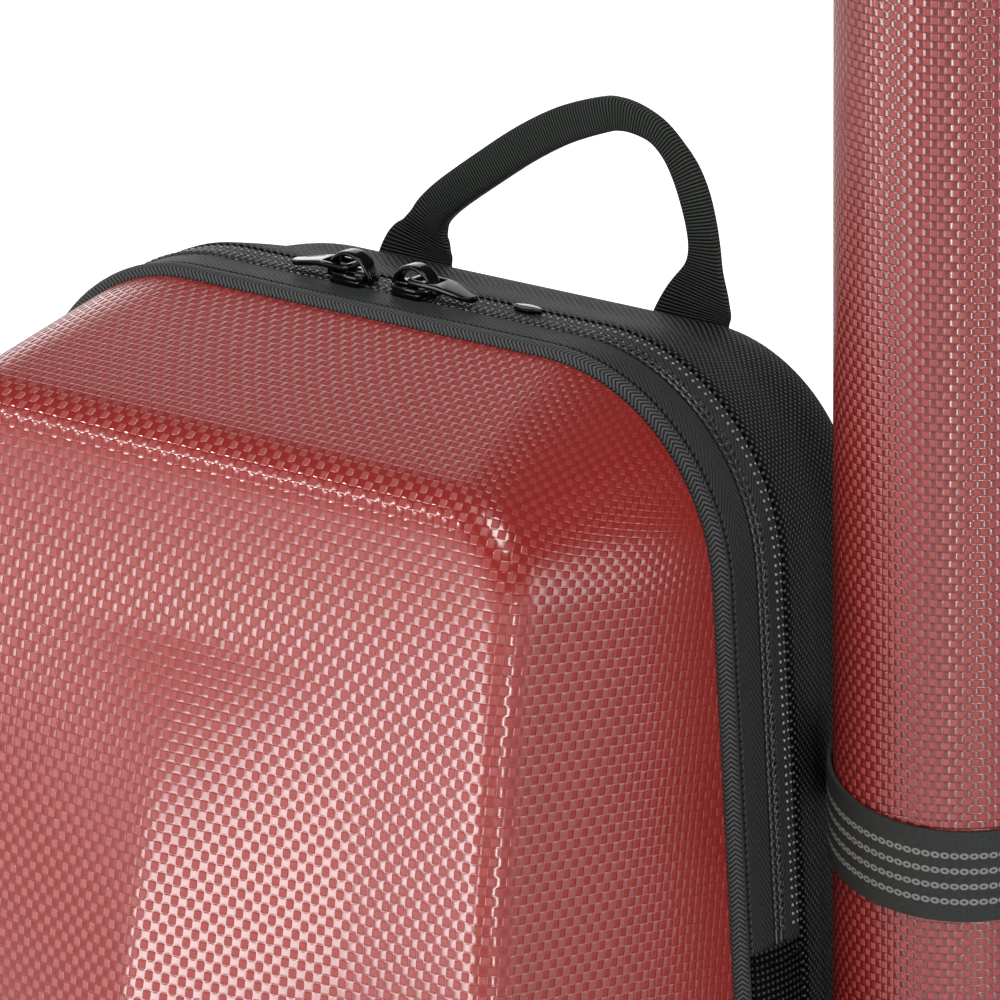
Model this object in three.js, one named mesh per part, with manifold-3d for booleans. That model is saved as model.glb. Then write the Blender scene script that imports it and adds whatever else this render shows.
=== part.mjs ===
// Backpack violin case with a hard front shell, a zip all round and a bow tube strapped to its right side.
// Millimetres, +Z up, +X towards the bow tube, the shell faces -Y.
// The pieces are drawn with the rim plane at Y = 0; the whole case is then moved
// so that the origin lies at the centre of the guard that the case stands on.
import * as THREE from 'three';
import { mergeVertices } from 'three/addons/utils/BufferGeometryUtils.js';
import Module from 'manifold-3d';

const wasm = await Module();
wasm.setup();

// Clearances shared by all pieces
const gap = 0.3;
const overrun = 2;

// Outline of the case seen from the front, measured on the red edge of the shell
const caseHeight = 640;
const rimGround = 6;
const caseHalfWidth = 142.8;
const topCornerRadius = 63;
const bottomCornerRadius = 78;
const flareAngle = THREE.MathUtils.degToRad(3.4);
const flareEndBelowTop = 190;
const bellyRadius = 1200;
const zipEndBelowTop = 174;

// Front shell
const shellSheet = 3;
const topWallInset = 22;
const sideWallInset = 10.5;
const bottomWallInset = 14;
const plateauTopCorner = 30;
const plateauBottomCorner = 60;
const shellFillet = 11;
const plateauTopDepth = 73;
const plateauFullDepth = 106;
const plateauBottomDepth = 90;
const plateauFullBelowTop = 275;
const plateauFallHeight = 220;
const keelHeight = 18;
const keelHalfWidth = 72;
const keelStartBelowTop = 78;
const keelGrowth = 150;
const keelBottomStart = 70;
const keelBottomGrowth = 110;
const plateauRingShares = [0.2, 0.385, 1];
const wallRingShares = [0, 0.5, 1];
const filletRingShares = [0.3, 0.6, 1];
const spineTopMargin = 42;
const spineBottomMargin = 60;
const liningThickness = 4;

// Frames, piping and zip, as sections through the rim: offset outwards and distance behind the rim plane
const frameInset = 9;
const frameFace = 1.2;
const pipingDiameter = 6;
const pipingProud = 3.6;
const zipPlane = 20;
const tapeThickness = 1.5;
const coilHalfWidth = 2.2;
const coilHeight = 2.8;
const baseTapeWidth = 7.2;
const pipingSides = 8;

// Base: stiff tray, nylon side and back
const gussetProud = 3.5;
const gussetThickness = 2;
const gussetStraight = 2;
const backDepth = 86;
const backInset = 14;
const trayWall = 5;
const backPanelThickness = 3;
const bindingDiameter = 5;

// Feet
const guardHalfWidth = 60;
const guardCorner = 3;
const guardBackMargin = 2;
const footDiameter = 16;
const footSpacing = 90;
const footDepth = 60;

// Violin and what holds it
const violinLength = 595;
const violinBodyLength = 356;
const violinLowerBout = 208;
const violinWaist = 112;
const violinUpperBout = 168;
const violinClearance = 6;
const violinGround = 30;
const neckChannel = 52;
const inlayThickness = 32;
const inlayFloorThickness = 7;
const bodyHalfWidthShares = [
  [0, 0], [0.62, 0.02], [0.93, 0.11], [1, 0.22], [0.95, 0.34], [0.86, 0.42],
];
const waistShare = 0.53;
const upperHalfWidthShares = [
  [0.88, 0.66], [0.98, 0.74], [1, 0.82], [0.9, 0.92], [0.56, 0.99],
];
const pocketWidth = 66;
const pocketHeight = 120;
const pocketFromNeck = 12;
const pocketCorner = 8;
const pocketBelowTop = 70;
const accessoryLidThickness = 2.5;
const accessoryLidLap = 4;
const neckRestHeight = 40;
const neckRestFoot = 12;
const neckRestRise = 34;
const neckRestSlotWidth = 28;
const neckRestSlotDepth = 22;
const neckStrapWidth = 25;
const neckStrapThickness = 2;

// Webbing handles
const webbingThickness = 3.5;
const topHandleCentre = 3.2;
const topHandleSpan = 108;
const topHandleRise = 55;
const topHandleWidth = 11.6;
const topHandleFlare = 29;
const handleTabHeight = 3.4;
const handleFlareShare = 0.17;
const topHandleShares = [
  [-0.5, 0], [-0.453, 0.141], [-0.422, 0.235], [-0.357, 0.354], [-0.222, 0.546], [-0.08, 0.737],
  [0.057, 0.886], [0.194, 0.98], [0.257, 1], [0.322, 0.992], [0.396, 0.945], [0.452, 0.862],
  [0.494, 0.75], [0.524, 0.63], [0.546, 0.486], [0.556, 0.348], [0.553, 0.235], [0.542, 0.09],
  [0.5, 0],
];
const sideHandleSpan = 120;
const sideHandleRise = 34;
const sideHandleWidth = 22;
const sideHandleHeight = 300;
const sideHandleDepth = 60;
const sideHandleShares = [[-0.5, 0], [-0.49, 0.4], [-0.4, 0.8], [-0.2, 0.97], [0, 1], [0.2, 0.97],
  [0.4, 0.8], [0.49, 0.4], [0.5, 0]];

// Zip sliders and pulls
const sliderPlaces = { left: -20.5, right: 4.7 };
const sliderLength = 14;
const sliderWidth = 10;
const sliderPlate = 2.5;
const sliderNose = 3;
const crownRadius = 8.6;
const crownBand = 1.6;
const crownWidth = 4.8;
const pullWidth = 9;
const pullPivotHeight = 4;
const pullThickness = 1.8;
const pullEyeLength = 9.6;
const pullLength = 23;
const pullDrop = 2.3;
const pullCheek = 1.5;
const zipTabX = 42;
const zipTabLength = 11;
const zipTabWidth = 5;
const zipTabThickness = 1.6;
const zipTabBehindZip = 7;

// Bow tube
const tubeFromCase = 38.2;
const tubeY = 59;
const tubeRadius = 38.5;
const tubeWall = 2.5;
const tubeLength = 800;
const tubeCapHeight = 33;
const tubeFootHeight = 20;
const tubeFootWall = 3;
const collarOverlap = 22;
const collarWall = 2;
const tubeEdge = 2.5;
const tubeLiningThickness = 1;
const tubeSides = 32;
const bowBlockHeight = 40;
const bowHole = 22;
const bowHoleSpacing = 30;

// Elastic straps round the bow tube
const elasticThickness = 1.6;
const elasticWidth = 28;
const elasticTilt = THREE.MathUtils.degToRad(14);
const elasticLow = THREE.MathUtils.degToRad(-50);
const elasticHeights = { upper: 508, lower: 150 };
const elasticTabWidth = 8;
const elasticSteps = 28;

// Back pads and shoulder straps
const padWidth = 74;
const padHeight = 360;
const padThickness = 13;
const padCentreX = 62;
const padGround = 152;
const padCorner = 24;
const strapWidth = 62;
const strapThickness = 10;
const strapTopX = 50;
const strapTopZ = 600;
const strapDrop = 385;
const strapBow = 41;
const strapRouteShares = [[0.002, 0], [0.022, 0.07], [0.14, 0.14], [0.4, 0.23], [0.68, 0.35],
  [0.93, 0.52], [1, 0.7], [0.88, 0.88], [0.7, 1]];
const strapEdgeShare = 0.3;
const adjusterWidth = 38;
const adjusterHeight = 26;
const adjusterThickness = 5;
const adjusterBar = 5;
const webbingWidth = 25;
const webbingSheet = 1.8;
const anchorX = 92;
const anchorZ = 102;
const anchorSize = 44;
const anchorThickness = 2.5;

// Steps that the outline is divided into
const topSteps = 3;
const cornerSteps = 6;
const upperSideSteps = 3;
const lowerSideSteps = 8;
const bottomSteps = 2;

// Finishes
const shellRed = { color: 0xa52622, roughness: 0.38, metalness: 0.0 };
const blackNylon = { color: 0x1c1d1d, roughness: 0.85, metalness: 0.0 };
const blackWebbing = { color: 0x151817, roughness: 0.8, metalness: 0.0 };
const blackEnamel = { color: 0x0b0c0c, roughness: 0.18, metalness: 0.4 };
const blackPlastic = { color: 0x161616, roughness: 0.5, metalness: 0.0 };
const greyPlush = { color: 0x5d6063, roughness: 0.95, metalness: 0.0 };
const greyFoam = { color: 0x3a3c3e, roughness: 0.95, metalness: 0.0 };
const blackRubber = { color: 0x18191a, roughness: 0.7, metalness: 0.0 };
const greyElastic = { color: 0x2d302e, roughness: 0.8, metalness: 0.0 };

// Small geometry helpers

function pieceMesh(name, geometry, finish) {
  const mesh = new THREE.Mesh(geometry, new THREE.MeshStandardMaterial(finish));
  mesh.name = name;
  return mesh;
}

function lerp(from, to, share) {
  return from + (to - from) * share;
}

function smoothShare(share) {
  const t = THREE.MathUtils.clamp(share, 0, 1);
  return t * t * (3 - 2 * t);
}

// Joins rings of equal count into one closed body. Rings may close on a line or a point.
function ringSolid(rings, { loop = false, caps = false } = {}) {
  const places = [];
  const numbers = new Map();
  const triangles = [];
  const numberOf = (point) => {
    const key = [point.x, point.y, point.z].map((value) => Math.round(value * 1e4)).join();
    if (!numbers.has(key)) {
      numbers.set(key, places.length / 3);
      places.push(point.x, point.y, point.z);
    }
    return numbers.get(key);
  };
  const addTriangle = (a, b, c) => {
    if (a !== b && b !== c && c !== a) {
      triangles.push(a, b, c);
    }
  };
  const span = (a, b) => Math.hypot(...[0, 1, 2].map((k) => places[3 * a + k] - places[3 * b + k]));
  const grid = rings.map((ring) => ring.map(numberOf));
  const last = loop ? grid.length : grid.length - 1;
  for (let row = 0; row < last; row += 1) {
    const here = grid[row];
    const next = grid[(row + 1) % grid.length];
    for (let i = 0; i < here.length; i += 1) {
      const j = (i + 1) % here.length;
      if (span(here[i], next[j]) < span(here[j], next[i])) {
        addTriangle(here[i], here[j], next[j]);
        addTriangle(here[i], next[j], next[i]);
      } else {
        addTriangle(here[i], here[j], next[i]);
        addTriangle(here[j], next[j], next[i]);
      }
    }
  }
  if (caps) {
    const first = grid[0];
    const end = grid[grid.length - 1];
    for (let i = 1; i < first.length - 1; i += 1) {
      addTriangle(first[0], first[i + 1], first[i]);
      addTriangle(end[0], end[i], end[i + 1]);
    }
  }
  const geometry = new THREE.BufferGeometry();
  geometry.setAttribute('position', new THREE.Float32BufferAttribute(places, 3));
  geometry.setIndex(signedVolume(places, triangles) < 0 ? triangles.reverse() : triangles);
  geometry.computeVertexNormals();
  return geometry;
}

function signedVolume(places, triangles) {
  let sum = 0;
  const corner = (index) => new THREE.Vector3().fromArray(places, index * 3);
  for (let i = 0; i < triangles.length; i += 3) {
    const [a, b, c] = [0, 1, 2].map((k) => corner(triangles[i + k]));
    sum += a.dot(b.cross(c));
  }
  return sum;
}

function weld(geometry) {
  const bare = geometry.index ? geometry.toNonIndexed() : geometry.clone();
  bare.deleteAttribute('normal');
  bare.deleteAttribute('uv');
  return mergeVertices(bare, 1e-4);
}

function toManifold(geometry) {
  const welded = weld(geometry);
  return new wasm.Manifold(new wasm.Mesh({
    numProp: 3,
    vertProperties: new Float32Array(welded.attributes.position.array),
    triVerts: new Uint32Array(welded.index.array),
  }));
}

function fromManifold(solid) {
  const mesh = solid.getMesh();
  const geometry = new THREE.BufferGeometry();
  geometry.setAttribute('position', new THREE.BufferAttribute(new Float32Array(mesh.vertProperties), 3));
  geometry.setIndex(new THREE.BufferAttribute(new Uint32Array(mesh.triVerts), 1));
  geometry.computeVertexNormals();
  return geometry;
}

function joined(...geometries) {
  return fromManifold(geometries.map(toManifold).reduce((whole, piece) => whole.add(piece)));
}

function cut(geometry, ...tools) {
  return fromManifold(tools.map(toManifold).reduce((whole, tool) => whole.subtract(tool), toManifold(geometry)));
}

function shared(geometry, region) {
  return fromManifold(toManifold(geometry).intersect(toManifold(region)));
}

// A shape drawn in X and Z, as thick as the distance between two Y planes
function plateXZ(shape, front, back, curveSegments = 8) {
  const depth = back - front;
  const geometry = new THREE.ExtrudeGeometry(shape, { depth, bevelEnabled: false, curveSegments });
  geometry.rotateX(Math.PI / 2);
  geometry.translate(0, back, 0);
  return weld(geometry);
}

// A shape drawn in Y and Z, as wide as the distance between two X planes
function plateYZ(shape, left, right, curveSegments = 8) {
  const depth = right - left;
  const geometry = new THREE.ExtrudeGeometry(shape, { depth, bevelEnabled: false, curveSegments });
  const turn = new THREE.Matrix4().makeBasis(
    new THREE.Vector3(0, 1, 0), new THREE.Vector3(0, 0, 1), new THREE.Vector3(1, 0, 0));
  geometry.applyMatrix4(turn);
  geometry.translate(left, 0, 0);
  return weld(geometry);
}

function block(low, high) {
  const size = high.clone().sub(low);
  const geometry = new THREE.BoxGeometry(size.x, size.y, size.z);
  geometry.translate((low.x + high.x) / 2, (low.y + high.y) / 2, (low.z + high.z) / 2);
  return weld(geometry);
}

function turned(profile, sides = tubeSides) {
  const points = profile.map(([radius, height]) => new THREE.Vector2(radius, height));
  const geometry = new THREE.LatheGeometry(points, sides);
  geometry.rotateX(Math.PI / 2);
  const solid = weld(geometry);
  const triangles = Array.from(solid.index.array);
  if (signedVolume(Array.from(solid.attributes.position.array), triangles) < 0) {
    solid.setIndex(triangles.reverse());
  }
  return solid;
}

function roundedRectangle(low, high, radius) {
  const shape = new THREE.Shape();
  shape.absarc(high.x - radius, high.y - radius, radius, 0, Math.PI / 2);
  shape.absarc(low.x + radius, high.y - radius, radius, Math.PI / 2, Math.PI);
  shape.absarc(low.x + radius, low.y + radius, radius, Math.PI, Math.PI * 1.5);
  shape.absarc(high.x - radius, low.y + radius, radius, Math.PI * 1.5, Math.PI * 2);
  shape.closePath();
  return shape;
}

// Case outline

const bellyCentre = {
  x: caseHalfWidth - bellyRadius,
  z: caseHeight - flareEndBelowTop - bellyRadius * Math.sin(flareAngle),
};
const flareEnd = {
  x: bellyCentre.x + bellyRadius * Math.cos(flareAngle),
  z: caseHeight - flareEndBelowTop,
};
const shoulderZ = caseHeight - topCornerRadius + topCornerRadius * Math.sin(flareAngle);
const shoulder = {
  x: flareEnd.x - (shoulderZ - flareEnd.z) * Math.tan(flareAngle),
  z: shoulderZ,
};
const sideBottom = rimGround + bottomCornerRadius;
const zipEndShare = (shoulder.z - caseHeight + zipEndBelowTop) / (shoulder.z - sideBottom);

function sidePlace(z, inset) {
  const radius = bellyRadius - inset;
  const above = z - bellyCentre.z;
  if (above > radius * Math.sin(flareAngle)) {
    const x = shoulder.x + (shoulder.z - z) * Math.tan(flareAngle) - inset / Math.cos(flareAngle);
    return { x, z, angle: flareAngle };
  }
  if (above > 0) {
    return { x: bellyCentre.x + Math.sqrt(radius * radius - above * above), z, angle: Math.asin(above / radius) };
  }
  return { x: caseHalfWidth - inset, z, angle: 0 };
}

// Right half of the outline, from the top centre to the bottom centre, with its outward angle at each place
function halfOutline({ top, side, bottom, topCorner, bottomCorner }) {
  const places = [];
  const cornerZ = caseHeight - top - topCorner;
  const lean = (shoulder.z - cornerZ) * Math.tan(flareAngle);
  const cornerX = shoulder.x + lean - (side + topCorner) / Math.cos(flareAngle);
  for (let i = 0; i < topSteps; i += 1) {
    places.push({ x: (cornerX * i) / topSteps, z: caseHeight - top, angle: Math.PI / 2 });
  }
  for (let i = 0; i < cornerSteps; i += 1) {
    const angle = lerp(Math.PI / 2, flareAngle, i / cornerSteps);
    places.push({ x: cornerX + topCorner * Math.cos(angle), z: cornerZ + topCorner * Math.sin(angle), angle });
  }
  const highZ = cornerZ + topCorner * Math.sin(flareAngle);
  const lowZ = rimGround + bottom + bottomCorner;
  const splitZ = lerp(highZ, lowZ, zipEndShare);
  for (let i = 0; i < upperSideSteps; i += 1) {
    places.push(sidePlace(lerp(highZ, splitZ, i / upperSideSteps), side));
  }
  for (let i = 0; i < lowerSideSteps; i += 1) {
    places.push(sidePlace(lerp(splitZ, lowZ, i / lowerSideSteps), side));
  }
  const footX = caseHalfWidth - side - bottomCorner;
  for (let i = 0; i < cornerSteps; i += 1) {
    const angle = lerp(0, -Math.PI / 2, i / cornerSteps);
    places.push({ x: footX + bottomCorner * Math.cos(angle), z: lowZ + bottomCorner * Math.sin(angle), angle });
  }
  for (let i = 0; i <= bottomSteps; i += 1) {
    places.push({ x: footX * (1 - i / bottomSteps), z: rimGround + bottom, angle: -Math.PI / 2 });
  }
  return places;
}

const zipEndIndex = topSteps + cornerSteps + upperSideSteps;
const hingeEndIndex = zipEndIndex + lowerSideSteps;
const halfCount = hingeEndIndex + cornerSteps + bottomSteps;
const ringCount = 2 * halfCount;

function fullOutline(spec) {
  const right = halfOutline(spec);
  const left = right.slice(1, -1).reverse().map(({ x, z, angle }) => ({ x: -x, z, angle: Math.PI - angle }));
  return right.concat(left);
}

// The rim outline moved outwards by an offset
function offsetOutline(offset) {
  return fullOutline({
    top: -offset,
    side: -offset,
    bottom: -offset,
    topCorner: topCornerRadius + offset,
    bottomCorner: bottomCornerRadius + offset,
  });
}

function ringAt(offset, y) {
  return offsetOutline(offset).map(({ x, z }) => new THREE.Vector3(x, y, z));
}

// A section of [offset, y] corners carried round the whole rim
function rimBand(section) {
  return ringSolid(section.map(([offset, y]) => ringAt(offset, y)), { loop: true });
}

// The same section carried along part of the rim, from one place of the outline back to another
function rimStretch(section, fromIndex, toIndex) {
  const rings = section.map(([offset, y]) => ringAt(offset, y));
  const stations = [];
  for (let index = fromIndex; index >= toIndex; index -= 1) {
    const place = (index + ringCount) % ringCount;
    stations.push(rings.map((ring) => ring[place]));
  }
  return ringSolid(stations, { caps: true });
}

function rectangleSection(inner, outer, front, back) {
  return [[inner, front], [outer, front], [outer, back], [inner, back]];
}

function roundSection(offset, y, radius, sides) {
  const section = [];
  for (let i = 0; i < sides; i += 1) {
    const angle = (2 * Math.PI * (i + 0.5)) / sides;
    section.push([offset + radius * Math.cos(angle), y + radius * Math.sin(angle)]);
  }
  return section;
}

// Front shell

function plateauDepth(z) {
  const below = caseHeight - topWallInset - z;
  const toFull = plateauFullBelowTop - topWallInset;
  const rise = THREE.MathUtils.clamp(below / toFull, 0, 1);
  const upper = lerp(plateauTopDepth, plateauFullDepth, rise * (2 - rise));
  const fall = Math.max(0, (plateauFallHeight - z) / (plateauFallHeight - rimGround - bottomWallInset));
  return upper - (plateauFullDepth - plateauBottomDepth) * Math.min(1, fall) ** 2;
}

function keelRise(x, z) {
  const fromTop = (caseHeight - keelStartBelowTop - z) / keelGrowth;
  const fromBottom = (z - keelBottomStart) / keelBottomGrowth;
  const lengthwise = Math.min(THREE.MathUtils.clamp(fromTop, 0, 1), smoothShare(fromBottom));
  const across = Math.max(0, 1 - Math.abs(x) / keelHalfWidth);
  return keelHeight * lengthwise * across;
}

// Rings of the shell's surface from the rim to its middle line, inset by a distance all over
function shellRings(inset) {
  const rim = offsetOutline(-inset);
  const plateauSpec = {
    top: topWallInset + inset,
    side: sideWallInset + inset,
    bottom: bottomWallInset + inset,
    topCorner: plateauTopCorner - inset,
    bottomCorner: plateauBottomCorner - inset,
  };
  const innerSpec = { ...plateauSpec };
  innerSpec.top += shellFillet;
  innerSpec.side += shellFillet;
  innerSpec.bottom += shellFillet;
  innerSpec.topCorner -= shellFillet;
  innerSpec.bottomCorner -= shellFillet;
  const edge = fullOutline(plateauSpec);
  const inner = fullOutline(innerSpec);
  const surface = (x, z) => new THREE.Vector3(x, inset - plateauDepth(z) - keelRise(x, z), z);
  const rimPoints = rim.map(({ x, z }) => new THREE.Vector3(x, 0, z));
  const edgePoints = edge.map(({ x, z }) => new THREE.Vector3(x, inset - plateauDepth(z), z));
  const innerPoints = inner.map(({ x, z }) => surface(x, z));
  const filletStarts = edgePoints.map((point, i) => {
    const share = 1 - shellFillet / point.distanceTo(rimPoints[i]);
    return rimPoints[i].clone().lerp(point, share);
  });
  const rings = wallRingShares.map((share) => rimPoints.map((point, i) => point.clone().lerp(filletStarts[i], share)));
  for (const share of filletRingShares) {
    rings.push(edgePoints.map((point, i) => {
      const first = filletStarts[i].clone().lerp(point, share);
      const second = point.clone().lerp(innerPoints[i], share);
      return first.lerp(second, share);
    }));
  }
  const spineTop = caseHeight - topWallInset - spineTopMargin;
  const spineBottom = rimGround + bottomWallInset + spineBottomMargin;
  for (const share of plateauRingShares) {
    rings.push(inner.map(({ x, z }) => {
      const spineZ = THREE.MathUtils.clamp(z, spineBottom, spineTop);
      return surface(x * (1 - share), lerp(z, spineZ, share));
    }));
  }
  return rings;
}

function shellBody(outerInset, innerInset) {
  const outer = shellRings(outerInset).reverse();
  return ringSolid(outer.concat(shellRings(innerInset)));
}

function frontShell() {
  return pieceMesh('front_shell', shellBody(0, shellSheet), shellRed);
}

function lidLining() {
  const start = shellSheet + gap;
  return pieceMesh('lid_lining', shellBody(start, start + liningThickness), greyPlush);
}

function shellWallZ(depth) {
  return rimGround + (bottomWallInset * depth) / plateauBottomDepth;
}

// Rubber feet under the shell; each one's top follows the slope of the bottom wall
function shellFoot(name, x) {
  const radius = footDiameter / 2;
  const front = -footDepth - radius;
  const back = -footDepth + radius;
  const profile = new THREE.Shape();
  profile.moveTo(front + guardCorner, 0);
  profile.lineTo(back - guardCorner, 0);
  profile.lineTo(back, guardCorner);
  profile.lineTo(back, shellWallZ(-back) - gap);
  profile.lineTo(front, shellWallZ(-front) - gap);
  profile.lineTo(front, guardCorner);
  profile.closePath();
  return pieceMesh(name, plateYZ(profile, x - radius, x + radius), blackRubber);
}

// Lid frame, piping and the lid's half of the zip

const pipingOffset = pipingProud - pipingDiameter / 2;
const pipingBack = gap + pipingDiameter;
const tapeFace = frameFace + gap + tapeThickness;
const coilTop = frameFace + gap + coilHeight;
const lidTapeFront = pipingBack + gap;
const lidTapeBack = zipPlane - gap / 2 - coilHalfWidth - gap;
const baseTapeFront = zipPlane + gap / 2 + coilHalfWidth + gap;
const baseTapeBack = baseTapeFront + baseTapeWidth;
const gussetFront = baseTapeBack + gap;

function lidFrame() {
  const behindPiping = pipingOffset - pipingDiameter / 2 - gap;
  const section = [
    [-frameInset, gap],
    [behindPiping, gap],
    [behindPiping, lidTapeFront],
    [frameFace, lidTapeFront],
    [frameFace, zipPlane - gap / 2],
    [-frameInset, zipPlane - gap / 2],
  ];
  return pieceMesh('lid_frame', rimBand(section), blackPlastic);
}

function lidPiping() {
  const section = roundSection(pipingOffset, gap + pipingDiameter / 2, pipingDiameter / 2, pipingSides);
  return pieceMesh('lid_piping', rimBand(section), blackNylon);
}

const zipStart = zipEndIndex;
const zipEnd = hingeEndIndex - ringCount;

function zipStrip(name, inner, outer, front, back, finish) {
  return pieceMesh(name, rimStretch(rectangleSection(inner, outer, front, back), zipStart, zipEnd), finish);
}

function hingeStrip(name, front, back) {
  const section = rectangleSection(frameFace + gap, tapeFace, front, back);
  const high = section.map(([offset, y]) => ringAt(offset, y)[zipEndIndex]);
  const rings = section.map(([offset, y]) => ringAt(offset, y));
  const stations = [high.map((point) => point.clone().setZ(point.z - gap))];
  for (let index = zipEndIndex + 1; index < hingeEndIndex; index += 1) {
    stations.push(rings.map((ring) => ring[index]));
  }
  stations.push(rings.map((ring) => ring[hingeEndIndex].clone().setZ(ring[hingeEndIndex].z + gap)));
  return pieceMesh(name, ringSolid(stations, { caps: true }), blackNylon);
}

function lidPieces() {
  const front = frameFace + gap;
  return [
    frontShell(),
    lidLining(),
    lidFrame(),
    lidPiping(),
    zipStrip('lid_zip_tape', front, tapeFace, lidTapeFront, lidTapeBack, blackNylon),
    zipStrip('lid_zip_coil', front, coilTop, zipPlane - gap / 2 - coilHalfWidth, zipPlane - gap / 2, blackPlastic),
    hingeStrip('hinge_strip_lid', lidTapeFront, zipPlane - gap / 2),
    shellFoot('shell_foot_left', -footSpacing / 2),
    shellFoot('shell_foot_right', footSpacing / 2),
  ];
}

// Base

const gussetTaperStart = gussetFront + gussetStraight;

function gussetOffset(y) {
  const share = (y - gussetTaperStart) / (backDepth - gussetTaperStart);
  return lerp(gussetProud, -backInset, Math.max(0, share));
}

function sideCover() {
  const section = [
    [gussetProud - gussetThickness, gussetFront],
    [gussetProud, gussetFront],
    [gussetProud, gussetTaperStart],
    [-backInset, backDepth],
    [-backInset - gussetThickness, backDepth],
    [gussetProud - gussetThickness, gussetTaperStart],
  ];
  return pieceMesh('side_cover', rimBand(section), blackNylon);
}

const trayBack = backDepth - gap - gussetThickness;
const trayFloor = trayBack - trayWall;

function trayOffset(y) {
  return gussetOffset(y) - gussetThickness - gap;
}

// Closes a ring on the case's middle line at one depth
function spineRing(offset, y) {
  return offsetOutline(offset).map(({ z }) => {
    const spineZ = THREE.MathUtils.clamp(z, rimGround + topCornerRadius, caseHeight - topCornerRadius);
    return new THREE.Vector3(0, y, spineZ);
  });
}

function backTray() {
  const front = zipPlane + gap / 2;
  const rings = [
    spineRing(0, trayBack),
    ringAt(trayOffset(trayBack), trayBack),
    ringAt(trayOffset(gussetTaperStart), gussetTaperStart),
    ringAt(frameFace, front),
    ringAt(-frameInset, front),
    ringAt(trayOffset(trayFloor) - trayWall, trayFloor),
    spineRing(0, trayFloor),
  ];
  return pieceMesh('back_tray', ringSolid(rings), blackPlastic);
}

const panelFront = trayBack + gap;
const panelBack = panelFront + backPanelThickness;
const panelOffset = gussetOffset(backDepth) - gussetThickness - gap;

function backPanel() {
  const rings = [
    spineRing(0, panelFront),
    ringAt(panelOffset, panelFront),
    ringAt(panelOffset, panelBack),
    spineRing(0, panelBack),
  ];
  return pieceMesh('back_panel', ringSolid(rings), blackNylon);
}

const bindingY = backDepth + gap + bindingDiameter / 2;

function backBinding() {
  const offset = -backInset;
  const edge = roundSection(offset, bindingY, bindingDiameter / 2, pipingSides);
  return pieceMesh('back_binding', rimBand(edge), blackNylon);
}

const guardFront = gussetTaperStart;
const guardBack = backDepth - guardBackMargin;
const standY = (guardFront + guardBack) / 2;

function baseGuard() {
  const underside = (y) => rimGround - gussetOffset(y) - gap;
  const profile = new THREE.Shape();
  profile.moveTo(guardFront, 0);
  profile.lineTo(guardBack - guardCorner, 0);
  profile.lineTo(guardBack, guardCorner);
  profile.lineTo(guardBack, underside(guardBack));
  profile.lineTo(guardFront, underside(guardFront));
  profile.closePath();
  return pieceMesh('base_guard', plateYZ(profile, -guardHalfWidth, guardHalfWidth), blackRubber);
}

// The small lens-shaped tab behind the zip
function zipTab() {
  const halfLength = zipTabLength / 2;
  const low = caseHeight + tapeFace + gap;
  const lens = new THREE.Shape();
  lens.moveTo(-halfLength, 0);
  lens.quadraticCurveTo(0, -zipTabWidth, halfLength, 0);
  lens.quadraticCurveTo(0, zipTabWidth, -halfLength, 0);
  const geometry = new THREE.ExtrudeGeometry(lens, { depth: zipTabThickness, bevelEnabled: false, curveSegments: 6 });
  const mesh = pieceMesh('zip_tab', weld(geometry), blackPlastic);
  const behindZip = zipPlane + zipTabBehindZip;
  mesh.position.set(zipTabX, behindZip, low);
  return mesh;
}

// What holds the violin

const inlayBack = trayFloor - gap;
const inlayFront = inlayBack - inlayThickness;
const inlayOffset = trayOffset(trayFloor) - trayWall - gap;
const recessBack = inlayBack - inlayFloorThickness;
const violinTop = violinGround + violinLength;
const bodyTop = violinGround + violinBodyLength;

// Half of the padded recess: the violin's body with clearance, then the neck channel
function violinRecess() {
  const lower = violinLowerBout / 2 + violinClearance;
  const upper = violinUpperBout / 2 + violinClearance;
  const waist = violinWaist / 2 + violinClearance;
  const ground = violinGround - violinClearance;
  const length = violinBodyLength + 2 * violinClearance;
  const half = bodyHalfWidthShares.map(([x, z]) => new THREE.Vector2(x * lower, ground + z * length));
  half.push(new THREE.Vector2(waist, ground + waistShare * length));
  half.push(...upperHalfWidthShares.map(([x, z]) => new THREE.Vector2(x * upper, ground + z * length)));
  const curve = new THREE.SplineCurve(half);
  const right = curve.getPoints(3 * half.length).filter(({ x }) => x >= neckChannel / 2);
  const channelTop = violinTop - violinClearance - topWallInset;
  const bottom = new THREE.Vector2(0, ground);
  const mouth = [new THREE.Vector2(neckChannel / 2, channelTop)];
  const rightSide = [bottom, ...right, ...mouth];
  const leftSide = rightSide.slice(1).reverse().map(({ x, y }) => new THREE.Vector2(-x, y));
  return new THREE.Shape(rightSide.concat(leftSide));
}

const pocketHigh = caseHeight - pocketBelowTop;
const pocketLow = pocketHigh - pocketHeight;
const pocketNear = neckChannel / 2 + pocketFromNeck;
const pocketFar = pocketNear + pocketWidth;

function pocketShape(side) {
  const low = new THREE.Vector2(Math.min(side * pocketNear, side * pocketFar), pocketLow);
  const high = new THREE.Vector2(Math.max(side * pocketNear, side * pocketFar), pocketHigh);
  return roundedRectangle(low, high, pocketCorner);
}

// One layer of the foam that fills the tray
function inlayLayer(front, back) {
  return ringSolid([
    spineRing(0, front),
    ringAt(inlayOffset, front),
    ringAt(inlayOffset, back),
    spineRing(0, back),
  ]);
}

function inlayFloor() {
  return pieceMesh('inlay_floor', inlayLayer(recessBack, inlayBack), greyPlush);
}

// The foam round the violin is four blocks: two round its body, two above them with the pockets
const inlaySplit = pocketLow - pocketFromNeck;

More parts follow.
